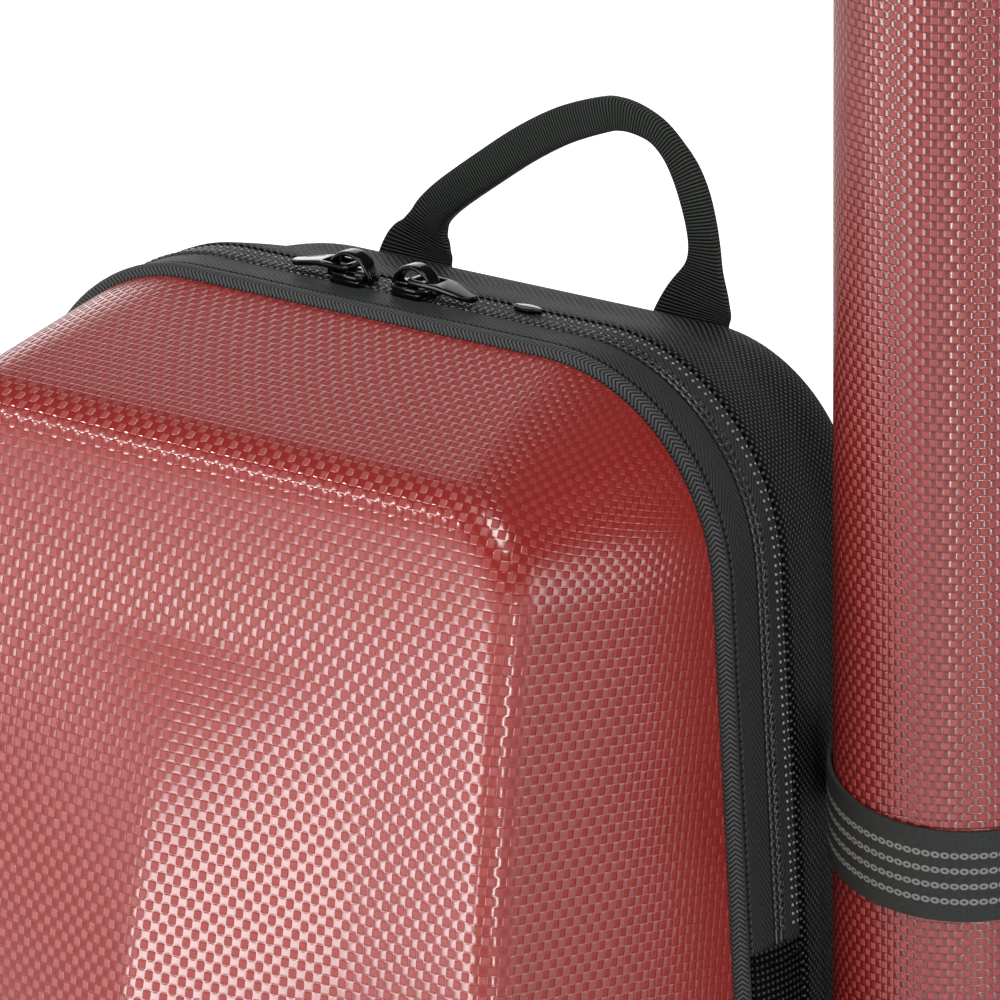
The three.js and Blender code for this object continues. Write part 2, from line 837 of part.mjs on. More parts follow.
function inlayBlock(name, side, low, high) {
  const layerBack = recessBack - gap;
  const cutFront = inlayFront - overrun;
  const cutBack = layerBack + overrun;
  const middle = (side * gap) / 2;
  const beyond = side * caseHalfWidth;
  const region = block(
    new THREE.Vector3(Math.min(middle, beyond), cutFront, low),
    new THREE.Vector3(Math.max(middle, beyond), cutBack, high),
  );
  const recess = plateXZ(violinRecess(), cutFront, cutBack);
  const pocket = plateXZ(pocketShape(side), cutFront, cutBack, 4);
  const foam = cut(shared(inlayLayer(inlayFront, layerBack), region), recess, pocket);
  return pieceMesh(name, foam, greyPlush);
}

const lidHingeX = -(pocketFar + accessoryLidLap);
const accessoryLidBack = inlayFront - gap;
const accessoryLidFront = accessoryLidBack - accessoryLidThickness;

function accessoryLid() {
  const low = new THREE.Vector2(-(pocketFar + accessoryLidLap), pocketLow - accessoryLidLap);
  const high = new THREE.Vector2(-pocketNear + accessoryLidLap, pocketHigh + accessoryLidLap);
  const shape = roundedRectangle(low, high, pocketCorner);
  return pieceMesh('accessory_lid', plateXZ(shape, accessoryLidFront, accessoryLidBack, 4), greyPlush);
}

const neckRestLow = bodyTop + violinClearance + neckRestFoot * 2;
const neckRestFront = recessBack - gap - neckRestRise - neckRestFoot;

function neckRest() {
  const half = neckChannel / 2 - gap;
  const slot = neckRestSlotWidth / 2;
  const shape = new THREE.Shape();
  const back = recessBack - gap;
  shape.moveTo(-half, back);
  shape.lineTo(half, back);
  shape.lineTo(half, neckRestFront);
  shape.lineTo(slot, neckRestFront);
  shape.lineTo(slot, neckRestFront + neckRestSlotDepth - slot);
  shape.absarc(0, neckRestFront + neckRestSlotDepth - slot, slot, 0, Math.PI, false);
  shape.lineTo(-slot, neckRestFront);
  shape.lineTo(-half, neckRestFront);
  shape.closePath();
  const geometry = new THREE.ExtrudeGeometry(shape, { depth: neckRestHeight, bevelEnabled: false, curveSegments: 6 });
  geometry.translate(0, 0, neckRestLow);
  return pieceMesh('neck_rest', weld(geometry), greyPlush);
}

function neckStrap() {
  const half = neckChannel / 2;
  const middle = neckRestLow + neckRestHeight / 2;
  const back = neckRestFront - gap;
  const low = new THREE.Vector2(-half, middle - neckStrapWidth / 2);
  const high = new THREE.Vector2(half, middle + neckStrapWidth / 2);
  const shape = roundedRectangle(low, high, neckStrapWidth / 4);
  return pieceMesh('neck_strap', plateXZ(shape, back - neckStrapThickness, back, 4), blackWebbing);
}

// Webbing handles, drawn flat: across is along the row of its two ends, up is away from the case

function flatLoop(shares, span, rise, width, flare) {
  const route = shares.map(([across, up]) => new THREE.Vector2(across * span, up * rise));
  const curve = new THREE.SplineCurve(route);
  const steps = 2 * (shares.length - 1);
  const outer = [];
  const inner = [];
  for (let i = 0; i <= steps; i += 1) {
    const share = i / steps;
    const place = curve.getPoint(share);
    const fromEnd = Math.min(share, 1 - share) / handleFlareShare;
    const half = lerp(flare, width, smoothShare(fromEnd)) / 2;
    const tangent = curve.getTangent(share);
    const upright = new THREE.Vector2(0, share < 0.5 ? 1 : -1);
    tangent.lerp(upright, 1 - smoothShare(fromEnd)).normalize();
    const normal = new THREE.Vector2(-tangent.y, tangent.x).multiplyScalar(half);
    outer.push(place.clone().add(normal));
    inner.push(place.clone().sub(normal));
  }
  return new THREE.Shape(outer.concat(inner.reverse()));
}

const tabTopRadius = webbingThickness / 2;

// Sewn tab under a handle's end: its round top lets the webbing turn
function handleTab(name, width) {
  const profile = new THREE.Shape();
  profile.moveTo(-tabTopRadius, -handleTabHeight);
  profile.lineTo(tabTopRadius, -handleTabHeight);
  profile.lineTo(tabTopRadius, 0);
  profile.absarc(0, 0, tabTopRadius, 0, Math.PI, false);
  profile.closePath();
  return pieceMesh(name, plateYZ(profile, -width / 2, width / 2, 4), blackWebbing);
}

const handleLift = tabTopRadius + gap;
const bindingTop = caseHeight - backInset + bindingDiameter / 2;
const topHandleAxis = { y: backDepth, z: bindingTop + gap + handleTabHeight };

function topHandle() {
  const group = new THREE.Group();
  group.position.set(topHandleCentre, topHandleAxis.y, topHandleAxis.z);
  const shape = flatLoop(topHandleShares, topHandleSpan, topHandleRise, topHandleWidth, topHandleFlare);
  const loop = plateXZ(shape, -webbingThickness / 2, webbingThickness / 2);
  const handle = pieceMesh('top_handle', loop, blackWebbing);
  handle.position.z = handleLift;
  group.add(handle);
  for (const [side, name] of [[-1, 'top_handle_tab_left'], [1, 'top_handle_tab_right']]) {
    const tab = handleTab(name, topHandleFlare);
    tab.position.x = (side * topHandleSpan) / 2;
    group.add(tab);
  }
  return group;
}

const sideHandleX = caseHalfWidth + gussetOffset(sideHandleDepth - tabTopRadius) + gap + handleTabHeight;

function sideHandle() {
  const group = new THREE.Group();
  group.position.set(-sideHandleX, sideHandleDepth, sideHandleHeight);
  group.rotation.y = -Math.PI / 2;
  const shape = flatLoop(sideHandleShares, sideHandleSpan, sideHandleRise, sideHandleWidth, sideHandleWidth);
  const loop = plateXZ(shape, -webbingThickness / 2, webbingThickness / 2);
  const handle = pieceMesh('side_handle', loop, blackWebbing);
  handle.position.z = handleLift;
  group.add(handle);
  for (const [side, name] of [[-1, 'side_handle_tab_low'], [1, 'side_handle_tab_high']]) {
    const tab = handleTab(name, sideHandleWidth);
    tab.position.x = (side * sideHandleSpan) / 2;
    group.add(tab);
  }
  return group;
}

// Zip sliders: a plate with a pointed nose and an arched crown; the pull turns under the crown

function sliderBody(name) {
  const half = sliderLength / 2;
  const side = sliderWidth / 2;
  const plan = new THREE.Shape();
  plan.moveTo(half, -side + sliderNose);
  plan.lineTo(half, side - sliderNose);
  plan.lineTo(half - sliderNose, side);
  plan.lineTo(-half, side);
  plan.lineTo(-half, -side);
  plan.lineTo(half - sliderNose, -side);
  plan.closePath();
  const plate = new THREE.ExtrudeGeometry(plan, { depth: sliderPlate, bevelEnabled: false });
  plate.translate(0, 0, gap);
  const crown = new THREE.Shape();
  crown.absarc(0, gap, crownRadius, 0, Math.PI, false);
  crown.absarc(0, gap, crownRadius - crownBand, Math.PI, 0, true);
  crown.closePath();
  const arch = plateXZ(crown, -crownWidth / 2, crownWidth / 2, 10);
  const foot = new THREE.Vector3(crownRadius, crownWidth / 2, gap + crownBand);
  const base = block(foot.clone().negate().setZ(gap), foot);
  return pieceMesh(name, joined(plate, arch, base), blackEnamel);
}

function sliderPull(name) {
  const half = pullThickness / 2;
  const shape = new THREE.Shape();
  const tip = pullPivotHeight - pullDrop;
  shape.absarc(0, pullPivotHeight, half, Math.PI / 2, Math.PI * 1.5, false);
  shape.lineTo(pullEyeLength, pullPivotHeight - half);
  shape.lineTo(pullLength - half, tip - half);
  shape.absarc(pullLength - half, tip, half, -Math.PI / 2, Math.PI / 2, false);
  shape.lineTo(pullEyeLength, pullPivotHeight + half);
  shape.closePath();
  const bar = plateXZ(shape, -pullWidth / 2, pullWidth / 2, 5);
  const eye = new THREE.Vector3(pullEyeLength, pullWidth / 2 - pullCheek, pullPivotHeight + pullThickness);
  const eyeLow = new THREE.Vector3(half, -eye.y, pullPivotHeight - pullThickness);
  const slot = block(eyeLow, eye);
  return pieceMesh(name, cut(bar, slot), blackEnamel);
}

function sliders() {
  const pieces = [];
  for (const [side, direction] of [['left', -1], ['right', 1]]) {
    const group = new THREE.Group();
    group.position.set(sliderPlaces[side], zipPlane, caseHeight + coilTop);
    if (direction < 0) {
      group.rotation.z = Math.PI;
    }
    group.add(sliderBody(`zip_slider_${side}`));
    group.add(sliderPull(`zip_pull_${side}`));
    pieces.push(group);
  }
  return pieces;
}

// Bow tube, drawn round its own axis

const tubeX = caseHalfWidth + tubeFromCase;
const barrelLow = tubeFootHeight + gap;
const barrelHigh = tubeLength - tubeCapHeight - gap;
const barrelInside = tubeRadius - tubeWall;

function bowTube() {
  const group = new THREE.Group();
  group.position.set(tubeX, tubeY, 0);
  const spigot = barrelInside - gap;
  const foot = turned([
    [0, 0],
    [tubeRadius - tubeEdge, 0],
    [tubeRadius, tubeEdge],
    [tubeRadius, tubeFootHeight],
    [spigot, tubeFootHeight],
    [spigot, tubeFootHeight + tubeFootHeight / 2],
    [spigot - tubeFootWall, tubeFootHeight + tubeFootHeight / 2],
    [spigot - tubeFootWall, tubeFootWall],
    [0, tubeFootWall],
  ]);
  const barrel = turned([
    [barrelInside, barrelLow],
    [tubeRadius, barrelLow],
    [tubeRadius, barrelHigh],
    [barrelInside, barrelHigh],
    [barrelInside, barrelLow],
  ]);
  const collarLow = barrelHigh - collarOverlap;
  const collarHigh = barrelHigh + collarOverlap;
  const collar = turned([
    [spigot - collarWall, collarLow],
    [spigot, collarLow],
    [spigot, collarHigh],
    [spigot - collarWall, collarHigh],
    [spigot - collarWall, collarLow],
  ]);
  const capLow = barrelHigh + gap;
  const cap = turned([
    [0, tubeLength],
    [tubeRadius - tubeEdge, tubeLength],
    [tubeRadius, tubeLength - tubeEdge],
    [tubeRadius, capLow],
    [barrelInside, capLow],
    [barrelInside, tubeLength - tubeWall],
    [0, tubeLength - tubeWall],
  ]);
  const liningLow = tubeFootHeight * 1.5 + gap;
  const liningHigh = collarLow - gap;
  const liningOut = barrelInside - gap;
  const lining = turned([
    [liningOut - tubeLiningThickness, liningLow],
    [liningOut, liningLow],
    [liningOut, liningHigh],
    [liningOut - tubeLiningThickness, liningHigh],
    [liningOut - tubeLiningThickness, liningLow],
  ]);
  group.add(
    pieceMesh('tube_foot', foot, blackPlastic),
    pieceMesh('tube_barrel', barrel, shellRed),
    pieceMesh('tube_collar', collar, blackPlastic),
    pieceMesh('tube_lining', lining, greyPlush),
    pieceMesh('tube_cap', cap, blackPlastic),
    bowHolder(),
  );
  return group;
}

// Foam block in the foot of the tube with a hole for each of two bows
function bowHolder() {
  const radius = barrelInside - gap - tubeFootWall - gap;
  const disc = new THREE.Shape();
  disc.absarc(0, 0, radius, 0, Math.PI * 2, false);
  for (const side of [-1, 1]) {
    const hole = new THREE.Path();
    hole.absarc((side * bowHoleSpacing) / 2, 0, bowHole / 2, 0, Math.PI * 2, true);
    disc.holes.push(hole);
  }
  const geometry = new THREE.ExtrudeGeometry(disc, { depth: bowBlockHeight, bevelEnabled: false, curveSegments: 10 });
  geometry.translate(0, 0, tubeFootWall + gap);
  return pieceMesh('bow_holder', weld(geometry), greyFoam);
}

// Elastic loop: a band round the tube, lower towards one side, with a sewn tab on the case
function elasticStrap(level) {
  const height = elasticHeights[level];
  const inner = tubeRadius + gap;
  const outer = inner + elasticThickness;
  const stations = [];
  for (let i = 0; i < elasticSteps; i += 1) {
    const angle = (2 * Math.PI * i) / elasticSteps;
    const drop = tubeRadius * Math.tan(elasticTilt) * Math.cos(angle - elasticLow);
    const corner = (radius, side) => new THREE.Vector3(
      radius * Math.cos(angle),
      radius * Math.sin(angle),
      (side * elasticWidth) / 2 - drop,
    );
    stations.push([corner(inner, -1), corner(outer, -1), corner(outer, 1), corner(inner, 1)]);
  }
  const band = ringSolid(stations, { loop: true });
  const caseFace = sidePlace(height - elasticWidth, 0).x + gussetOffset(tubeY - elasticTabWidth / 2) + gap - tubeX;
  const rise = tubeRadius * Math.tan(elasticTilt) * Math.cos(elasticLow);
  const low = new THREE.Vector3(caseFace, -elasticTabWidth / 2, rise - elasticWidth / 2);
  const high = new THREE.Vector3(-inner - elasticThickness / 2, elasticTabWidth / 2, rise + elasticWidth / 2);
  const bandWithTab = joined(band, block(low, high));
  const mesh = pieceMesh(`tube_strap_${level}`, bandWithTab, greyElastic);
  mesh.position.set(tubeX, tubeY, height);
  return mesh;
}

// Back pads and shoulder straps

function backPad(name, x) {
  const front = panelBack + gap;
  const outline = (inset) => {
    const low = new THREE.Vector2(x - padWidth / 2 + inset, padGround + inset);
    const high = new THREE.Vector2(x + padWidth / 2 - inset, padGround + padHeight - inset);
    return roundedRectangle(low, high, padCorner - inset).getPoints(5).slice(0, -1);
  };
  const levels = [[0.25, 0], [0, 0.35], [0.1, 0.7], [0.4, 0.94], [0.7, 1]];
  const rings = levels.map(([insetShare, thicknessShare]) => {
    return outline(insetShare * padCorner).map(({ x: px, y: pz }) => {
      return new THREE.Vector3(px, front + thicknessShare * padThickness, pz);
    });
  });
  return pieceMesh(name, ringSolid(rings, { caps: true }), blackNylon);
}

// Flat band of a given width along a route; the width lies along X
function band(route, width, thickness, edge) {
  const curve = new THREE.CatmullRomCurve3(route);
  const steps = 2 * (route.length - 1);
  const stations = [];
  for (let i = 0; i <= steps; i += 1) {
    const place = curve.getPoint(i / steps);
    const tangent = curve.getTangent(i / steps);
    const across = new THREE.Vector3(1, 0, 0).addScaledVector(tangent, -tangent.x).normalize();
    const up = new THREE.Vector3().crossVectors(tangent, across);
    const corner = (a, b) => place.clone().addScaledVector(across, a).addScaledVector(up, b);
    const half = width / 2;
    const flat = half - edge;
    const rise = thickness / 2;
    stations.push([
      corner(-flat, -rise), corner(flat, -rise), corner(half, 0), corner(flat, rise),
      corner(-flat, rise), corner(-half, 0),
    ]);
  }
  return ringSolid(stations, { caps: true });
}

const strapStartY = panelBack + gap + strapThickness / 2;
const strapRoute = strapRouteShares.map(([back, down]) => {
  return new THREE.Vector3(strapTopX, strapStartY + back * strapBow, strapTopZ - down * strapDrop);
});
const strapEnd = strapRoute[strapRoute.length - 1];
const adjusterTop = strapEnd.z - gap - adjusterThickness / 2;
const webbingEnd = new THREE.Vector3(anchorX, panelBack + 2 * gap + webbingSheet, anchorZ);
const anchorTop = anchorZ - webbingWidth / 4 - gap;

function mirrored(points, side) {
  return points.map((point) => new THREE.Vector3(side * point.x, point.y, point.z));
}

function shoulderStrap(sideName, side) {
  const pad = band(mirrored(strapRoute, side), strapWidth, strapThickness, strapThickness * strapEdgeShare);
  const plate = roundedRectangle(
    new THREE.Vector2(-adjusterWidth / 2, -adjusterHeight),
    new THREE.Vector2(adjusterWidth / 2, 0),
    adjusterBar / 2,
  );
  const slotHalf = adjusterWidth / 2 - adjusterBar;
  const slotHeight = (adjusterHeight - 3 * adjusterBar) / 2;
  for (const row of [0, 1]) {
    const top = -adjusterBar - row * (slotHeight + adjusterBar);
    const slot = new THREE.Path([
      new THREE.Vector2(-slotHalf, top),
      new THREE.Vector2(-slotHalf, top - slotHeight),
      new THREE.Vector2(slotHalf, top - slotHeight),
      new THREE.Vector2(slotHalf, top),
    ]);
    plate.holes.push(slot);
  }
  const adjuster = pieceMesh(`strap_adjuster_${sideName}`,
    plateXZ(plate, -adjusterThickness / 2, adjusterThickness / 2, 3), blackPlastic);
  adjuster.position.set(side * strapEnd.x, strapEnd.y, adjusterTop);
  const webbingStart = strapEnd.clone();
  webbingStart.z = adjusterTop - adjusterHeight - gap - webbingWidth / 5;
  const middle = webbingStart.clone().lerp(webbingEnd, 0.5);
  middle.y -= webbingSheet;
  const webbing = band(mirrored([webbingStart, middle, webbingEnd], side), webbingWidth, webbingSheet, webbingSheet);
  const anchor = roundedRectangle(
    new THREE.Vector2(-anchorSize / 2, -anchorSize / 2),
    new THREE.Vector2(anchorSize / 2, anchorSize / 2),
    anchorSize / 5,
  );
  const patch = pieceMesh(`strap_anchor_${sideName}`, plateXZ(anchor, 0, anchorThickness, 3), blackNylon);
  patch.position.set(side * anchorX, panelBack + gap, anchorTop - anchorSize / 2);
  return [
    pieceMesh(`shoulder_strap_${sideName}`, pad, blackNylon),
    adjuster,
    pieceMesh(`strap_webbing_${sideName}`, webbing, blackWebbing),
    patch,
  ];
}

// Assembly

const violinCase = new THREE.Group();
violinCase.position.y = -standY;

const lid = new THREE.Group();
lid.add(...lidPieces());

const base = new THREE.Group();
base.add(
  backTray(),
  sideCover(),
  backPanel(),
  backBinding(),
  baseGuard(),
  zipStrip('base_zip_tape', frameFace + gap, tapeFace, baseTapeFront, baseTapeBack, blackNylon),
  zipStrip('base_zip_coil', frameFace + gap, coilTop, zipPlane + gap / 2, baseTapeFront - gap, blackPlastic),
  hingeStrip('hinge_strip_base', zipPlane + gap / 2, baseTapeBack),
  zipTab(),
  inlayFloor(),
  inlayBlock('inlay_lower_left', -1, 0, inlaySplit),
  inlayBlock('inlay_lower_right', 1, 0, inlaySplit),
  inlayBlock('inlay_upper_left', -1, inlaySplit + gap, caseHeight),
  inlayBlock('inlay_upper_right', 1, inlaySplit + gap, caseHeight),
  accessoryLid(),
  neckRest(),
  neckStrap(),
  backPad('back_pad_left', -padCentreX),
  backPad('back_pad_right', padCentreX),
  ...shoulderStrap('left', -1),
  ...shoulderStrap('right', 1),
  elasticStrap('upper'),
  elasticStrap('lower'),
);

violinCase.add(lid, base, topHandle(), sideHandle(), ...sliders(), bowTube());

export default violinCase;
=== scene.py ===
"""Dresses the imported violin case: embossed red shell, braided piping, zip, nylon, webbing and bow tube.

Lengths are millimetres on the drawing of the case, whose rim plane is at Y 0. Pitches and relief depths of the
materials, voxels, limits of swelling, lamps and the camera's distance are in metres.
"""

import math

import bmesh
import bpy
from bpy.props import FloatProperty, FloatVectorProperty, PointerProperty
from mathutils import Matrix, Vector


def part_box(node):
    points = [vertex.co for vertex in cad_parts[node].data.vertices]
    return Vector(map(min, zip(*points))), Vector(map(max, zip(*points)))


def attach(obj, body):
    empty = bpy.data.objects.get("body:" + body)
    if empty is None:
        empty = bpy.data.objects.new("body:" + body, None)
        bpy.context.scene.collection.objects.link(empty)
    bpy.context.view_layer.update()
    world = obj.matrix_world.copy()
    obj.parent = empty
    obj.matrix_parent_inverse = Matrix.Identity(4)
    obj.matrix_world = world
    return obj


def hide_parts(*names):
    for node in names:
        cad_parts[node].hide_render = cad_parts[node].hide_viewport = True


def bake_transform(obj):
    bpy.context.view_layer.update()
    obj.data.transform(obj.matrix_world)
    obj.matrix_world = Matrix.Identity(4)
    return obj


bl_info = {
    "name": "Violin case",
    "version": (1, 0, 0),
    "blender": (4, 5, 0),
    "location": "View3D > Sidebar > Violin case",
    "description": "Shell, trim, zip, straps and bow tube of a backpack violin case",
    "category": "Object",
}

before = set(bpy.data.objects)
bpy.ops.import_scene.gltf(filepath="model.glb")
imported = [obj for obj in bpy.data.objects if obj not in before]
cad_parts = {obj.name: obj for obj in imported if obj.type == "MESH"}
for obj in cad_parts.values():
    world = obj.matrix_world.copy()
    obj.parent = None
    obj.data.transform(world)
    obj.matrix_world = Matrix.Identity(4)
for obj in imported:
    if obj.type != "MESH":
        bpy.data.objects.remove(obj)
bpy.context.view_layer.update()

MM = 0.001
RIM_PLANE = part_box("front_shell")[1].y / MM

# Outline of the case, as on the drawing
CASE_HEIGHT = 640
RIM_GROUND = 6
CASE_HALF_WIDTH = 142.8
TOP_CORNER = 63
BOTTOM_CORNER = 78
FLARE = math.radians(3.4)
FLARE_END_BELOW_TOP = 190
BELLY_RADIUS = 1200
ZIP_END_BELOW_TOP = 174

# Front shell
SHELL_SHEET = 3
LINING_INSET = 3.3
LINING_SHEET = 4
TOP_WALL_INSET = 22
SIDE_WALL_INSET = 10.5
BOTTOM_WALL_INSET = 14
PLATEAU_TOP_CORNER = 30
PLATEAU_BOTTOM_CORNER = 60
SHELL_FILLET = 11
PLATEAU_TOP_DEPTH = 73
PLATEAU_FULL_DEPTH = 106
PLATEAU_BOTTOM_DEPTH = 90
PLATEAU_FULL_BELOW_TOP = 275
PLATEAU_FALL_HEIGHT = 220
KEEL_HEIGHT = 18
KEEL_HALF_WIDTH = 72
KEEL_START_BELOW_TOP = 78
KEEL_GROWTH = 150
KEEL_BOTTOM_START = 70
KEEL_BOTTOM_GROWTH = 110
SPINE_TOP_MARGIN = 42
SPINE_BOTTOM_MARGIN = 60

# Trim and zip: offset outwards from the rim, and distance behind the rim plane
PIPING_OFFSET = 0.6
PIPING_RADIUS = 3
PIPING_Y = 3.3
ZIP_PLANE = 20
GUSSET_PROUD = 3.5
BACK_DEPTH = 86
BACK_INSET = 14

# Zip tapes, coils and stitches: first and last distance behind the rim plane, or the row's own distance
LID_TAPE = (6.6, 17.35)
BASE_TAPE = (22.65, 29.85)
TAPE_FACE = 3.0
TAPE_BACK = 1.5
TAPE_CORNER = 0.35
LID_COIL_Y = 18.85
BASE_COIL_Y = 21.15
COIL_LEAN = math.pi / 4
COIL_OFFSET = 3.1
COIL_TURN = (1.5, 0.6, 0.7)
COIL_CORE_OFFSET = 2.5
COIL_CORE_RADII = (0.75, 0.85)
ZIP_END_MARGIN = 2
STITCH_PITCH = 2.7
# Each row's offset, distance behind the rim plane and half size
STITCH_ROWS = ((3.1, 26.6, (0.5, 0.42, 0.4)), (3.0, 28.8, (0.4, 0.3, 0.3)))

# Side fabric: where it starts, begins to lean in, to roll over and to bend; its thickness, how far it bows out
# on the way and bulges at the seam, and the share of its roll after which it turns in
GUSSET_START = 30.15
GUSSET_STRAIGHT_END = 32.15
GUSSET_ROLL_START = 55
GUSSET_BEND_START = 79.5
GUSSET_SHEET = 2
GUSSET_BOW = 1.2
SEAM_BULGE = 3.9
SEAM_TURN = 0.86

# Where a bulge of the side fabric has died away above the base, and over how far it does
BULGE_END_Z = 80
BULGE_FADE = 120

# Bow tube
TUBE_X = 181.0
TUBE_Y = 59.0
TUBE_RADIUS = 38.5
TUBE_WALL = 2.5

# Room between a soft piece and what it lies on
GAP = 0.3

# How finely each stretch of the outline is divided
TOP_STEPS = 24
CORNER_STEPS = 26
UPPER_SIDE_STEPS = 30
LOWER_SIDE_STEPS = 62
BOTTOM_STEPS = 12

# Distance in metres within which corners of a swept shape become one
WELD = 1e-6

# Ways on the drawing
FRONT = Vector((0, -1, 0))
BACK = Vector((0, 1, 0))
RIGHT = Vector((1, 0, 0))
UP = Vector((0, 0, 1))

# Roughness of the shell's two kinds of square, and how far the matt ones lean sideways
GLOSSY_SQUARE = 0.19
MATT_SQUARE = 0.52
SQUARE_LEAN = 0.22

# Elastic: spacing of its pale loops along and across it, half their length and width, and their rows' start
LOOP_PITCH = 2.85
LOOP_ROW = 4.76
LOOP_LENGTH = 1.3
LOOP_WIDTH = 0.95
LOOP_ROW_START = 0.56

# Studio: the world's light and what it mirrors, and the floor's glow near the case, far away and mirrored
AMBIENT = 0.15
OVERHEAD = 0.1
WHITE_BELOW = 0.15
DARK_ABOVE = 0.5
FLOOR_GLOW_NEAR = 0.6
FLOOR_GLOW_FAR = 0.85
FLOOR_GLOW_MIRRORED = 0.4

# Lamps: compass angle from the case's front, height, distance, width, height of the lamp and brightness
SOFTBOXES = {
    "key": (-21, 0.42, 1.9, 0.95, 0.55, 8),
    "glint": (-45, 1.9, 2.4, 0.2, 0.2, 80),
    "back_left": (-137, 1.6, 2.8, 1.3, 2.4, 1.5),
    "right": (52, 0.5, 1.9, 0.14, 0.96, 22),
    "back_right": (115, 0.9, 2.6, 1.0, 1.4, 2.5),
    "top": (35, 3.1, 1.1, 1.2, 1.2, 9.3),
}

# Where the lamps aim, in metres
LAMP_AIM = Vector((0.05, RIM_PLANE * MM, 0.55))

# Camera: the point that it stands off from, its compass angle, elevation and distance from there, and its aim
CAMERA_CENTRE = (0, 0, 560)
CAMERA_AZIMUTH = 40.0
CAMERA_ELEVATION = 17.74
CAMERA_DISTANCE = 3.0792
LOOK_AZIMUTH = 39.204
LOOK_ELEVATION = 17.346
CAMERA_ROLL = -0.542
LENS = 365.84
SENSOR = 36


def linear(code):
    """An sRGB hex colour as the linear red, green and blue that Blender works in."""
    shares = [int(code[i:i + 2], 16) / 255 for i in (0, 2, 4)]
    return tuple(s / 12.92 if s <= 0.04045 else ((s + 0.055) / 1.055) ** 2.4 for s in shares)


# Sizes and colours that a user would change


def colour_choice(name, description, code):
    return FloatVectorProperty(name=name, description=description, subtype="COLOR", size=3, min=0, max=1,
                               default=linear(code))


def spacing_choice(name, description, least, default):
    return FloatProperty(name=name, description=description, unit="LENGTH", subtype="DISTANCE",
                         min=least * MM, default=default * MM)


class ViolinCaseSettings(bpy.types.PropertyGroup):
    """Pattern sizes and colours of the case."""

    shell_colour: colour_choice("Shell", "Colour of the shell and the bow tube", "9B2721")
    nylon_colour: colour_choice("Nylon", "Colour of the side and back fabric", "1D1E1E")
    webbing_colour: colour_choice("Webbing", "Colour of the handles and straps", "181A18")
    elastic_colour: colour_choice("Elastic", "Colour of the loops round the bow tube", "2B2E2C")
    plush_colour: colour_choice("Plush", "Colour of the lining", "5D6063")
    shell_cell: spacing_choice("Shell weave", "Width of one square of the shell's embossed weave", 0.5, 2.85)
    tube_cell: spacing_choice("Tube weave", "Width of one square of the bow tube's embossed weave", 0.5, 2.2)
    nylon_thread: spacing_choice("Nylon thread", "Spacing of the threads in the side fabric", 0.3, 1.9)
    braid_pitch: spacing_choice("Piping braid", "Spacing of the strands along the piping", 0.5, 1.5)
    coil_pitch: spacing_choice("Zip coil", "Spacing of the zip's turns", 0.8, 2.75)
    rib_pitch: spacing_choice("Webbing rib", "Spacing of the ribs across the webbing", 0.3, 1.05)


def settings():
    return bpy.context.scene.violin_case


# Shapes


def place(x, y, z):
    """A point of the drawing, in millimetres, as a place in the frame, in metres."""
    return Vector((x, y + RIM_PLANE, z)) * MM


def blend_value(start, end, share):
    return start + (end - start) * share


def clamp(value, low=0.0, high=1.0):
    return max(low, min(high, value))


def smooth(share):
    t = clamp(share)
    return t * t * (3 - 2 * t)


def lofted(rings, uvs=None):
    """Extrudes the first row of points through the others. Rows that end where they start are closed up."""
    shape = bmesh.new()
    row = [shape.verts.new(point) for point in rings[0]]
    edges = [shape.edges.new(pair) for pair in zip(row, row[1:])]
    rows = [row]
    for ring in rings[1:]:
        made = bmesh.ops.extrude_edge_only(shape, edges=edges)["geom"]
        new = {item for item in made if isinstance(item, bmesh.types.BMVert)}
        edges = [item for item in made if isinstance(item, bmesh.types.BMEdge) and set(item.verts) <= new]
        row = [next(e.other_vert(v) for e in v.link_edges if e.other_vert(v) in new) for v in row]
        for vertex, point in zip(row, ring):
            vertex.co = point
        rows.append(row)
    if uvs is not None:
        places = {v: (j, i) for j, row in enumerate(rows) for i, v in enumerate(row)}
        layer = shape.loops.layers.uv.new("pattern")
        for face in shape.faces:
            for corner in face.loops:
                j, i = places[corner.vert]
                corner[layer].uv = uvs[j][i]
    bmesh.ops.remove_doubles(shape, verts=shape.verts, dist=WELD)
    bmesh.ops.dissolve_degenerate(shape, dist=1e-7, edges=shape.edges)
    return shape


def close_ends(shape):
    """Fills the open ends of a swept shape and returns it."""
    open_edges = [edge for edge in shape.edges if edge.is_boundary]
    bmesh.ops.holes_fill(shape, edges=open_edges, sides=0)
    return shape


# Slot that each finish belongs to
SLOTS = {
    "shell": "shell_red", "tube": "shell_red", "enamel": "enamel_black", "rubber": "rubber_black",
    "nylon": "nylon_black", "mesh": "nylon_black", "hinge": "nylon_black", "braid": "nylon_black",
    "tape": "nylon_black", "thread": "nylon_black", "webbing": "webbing_black", "elastic": "elastic_grey",
    "coil": "plastic_black", "plastic": "plastic_black", "plush": "plush_grey", "foam": "foam_grey",
}
finishes = {}


def piece(name, shape, finish, body=None, stands_for=(), crease=40.0, slot=None):
    """Makes a finished object of a shape, riding on a body and standing for the nodes that it replaces."""
    bmesh.ops.recalc_face_normals(shape, faces=shape.faces)
    data = bpy.data.meshes.new(name)
    shape.to_mesh(data)
    shape.free()
    made = bpy.data.objects.new(name, data)
    bpy.context.scene.collection.objects.link(made)
    data.shade_smooth()
    data.set_sharp_from_angle(angle=math.radians(crease))
    data.materials.append(finishes[finish])
    if body is not None:
        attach(made, body)
    if stands_for:
        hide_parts(*stands_for)
    slot = slot or SLOTS.get(finish)
    return made


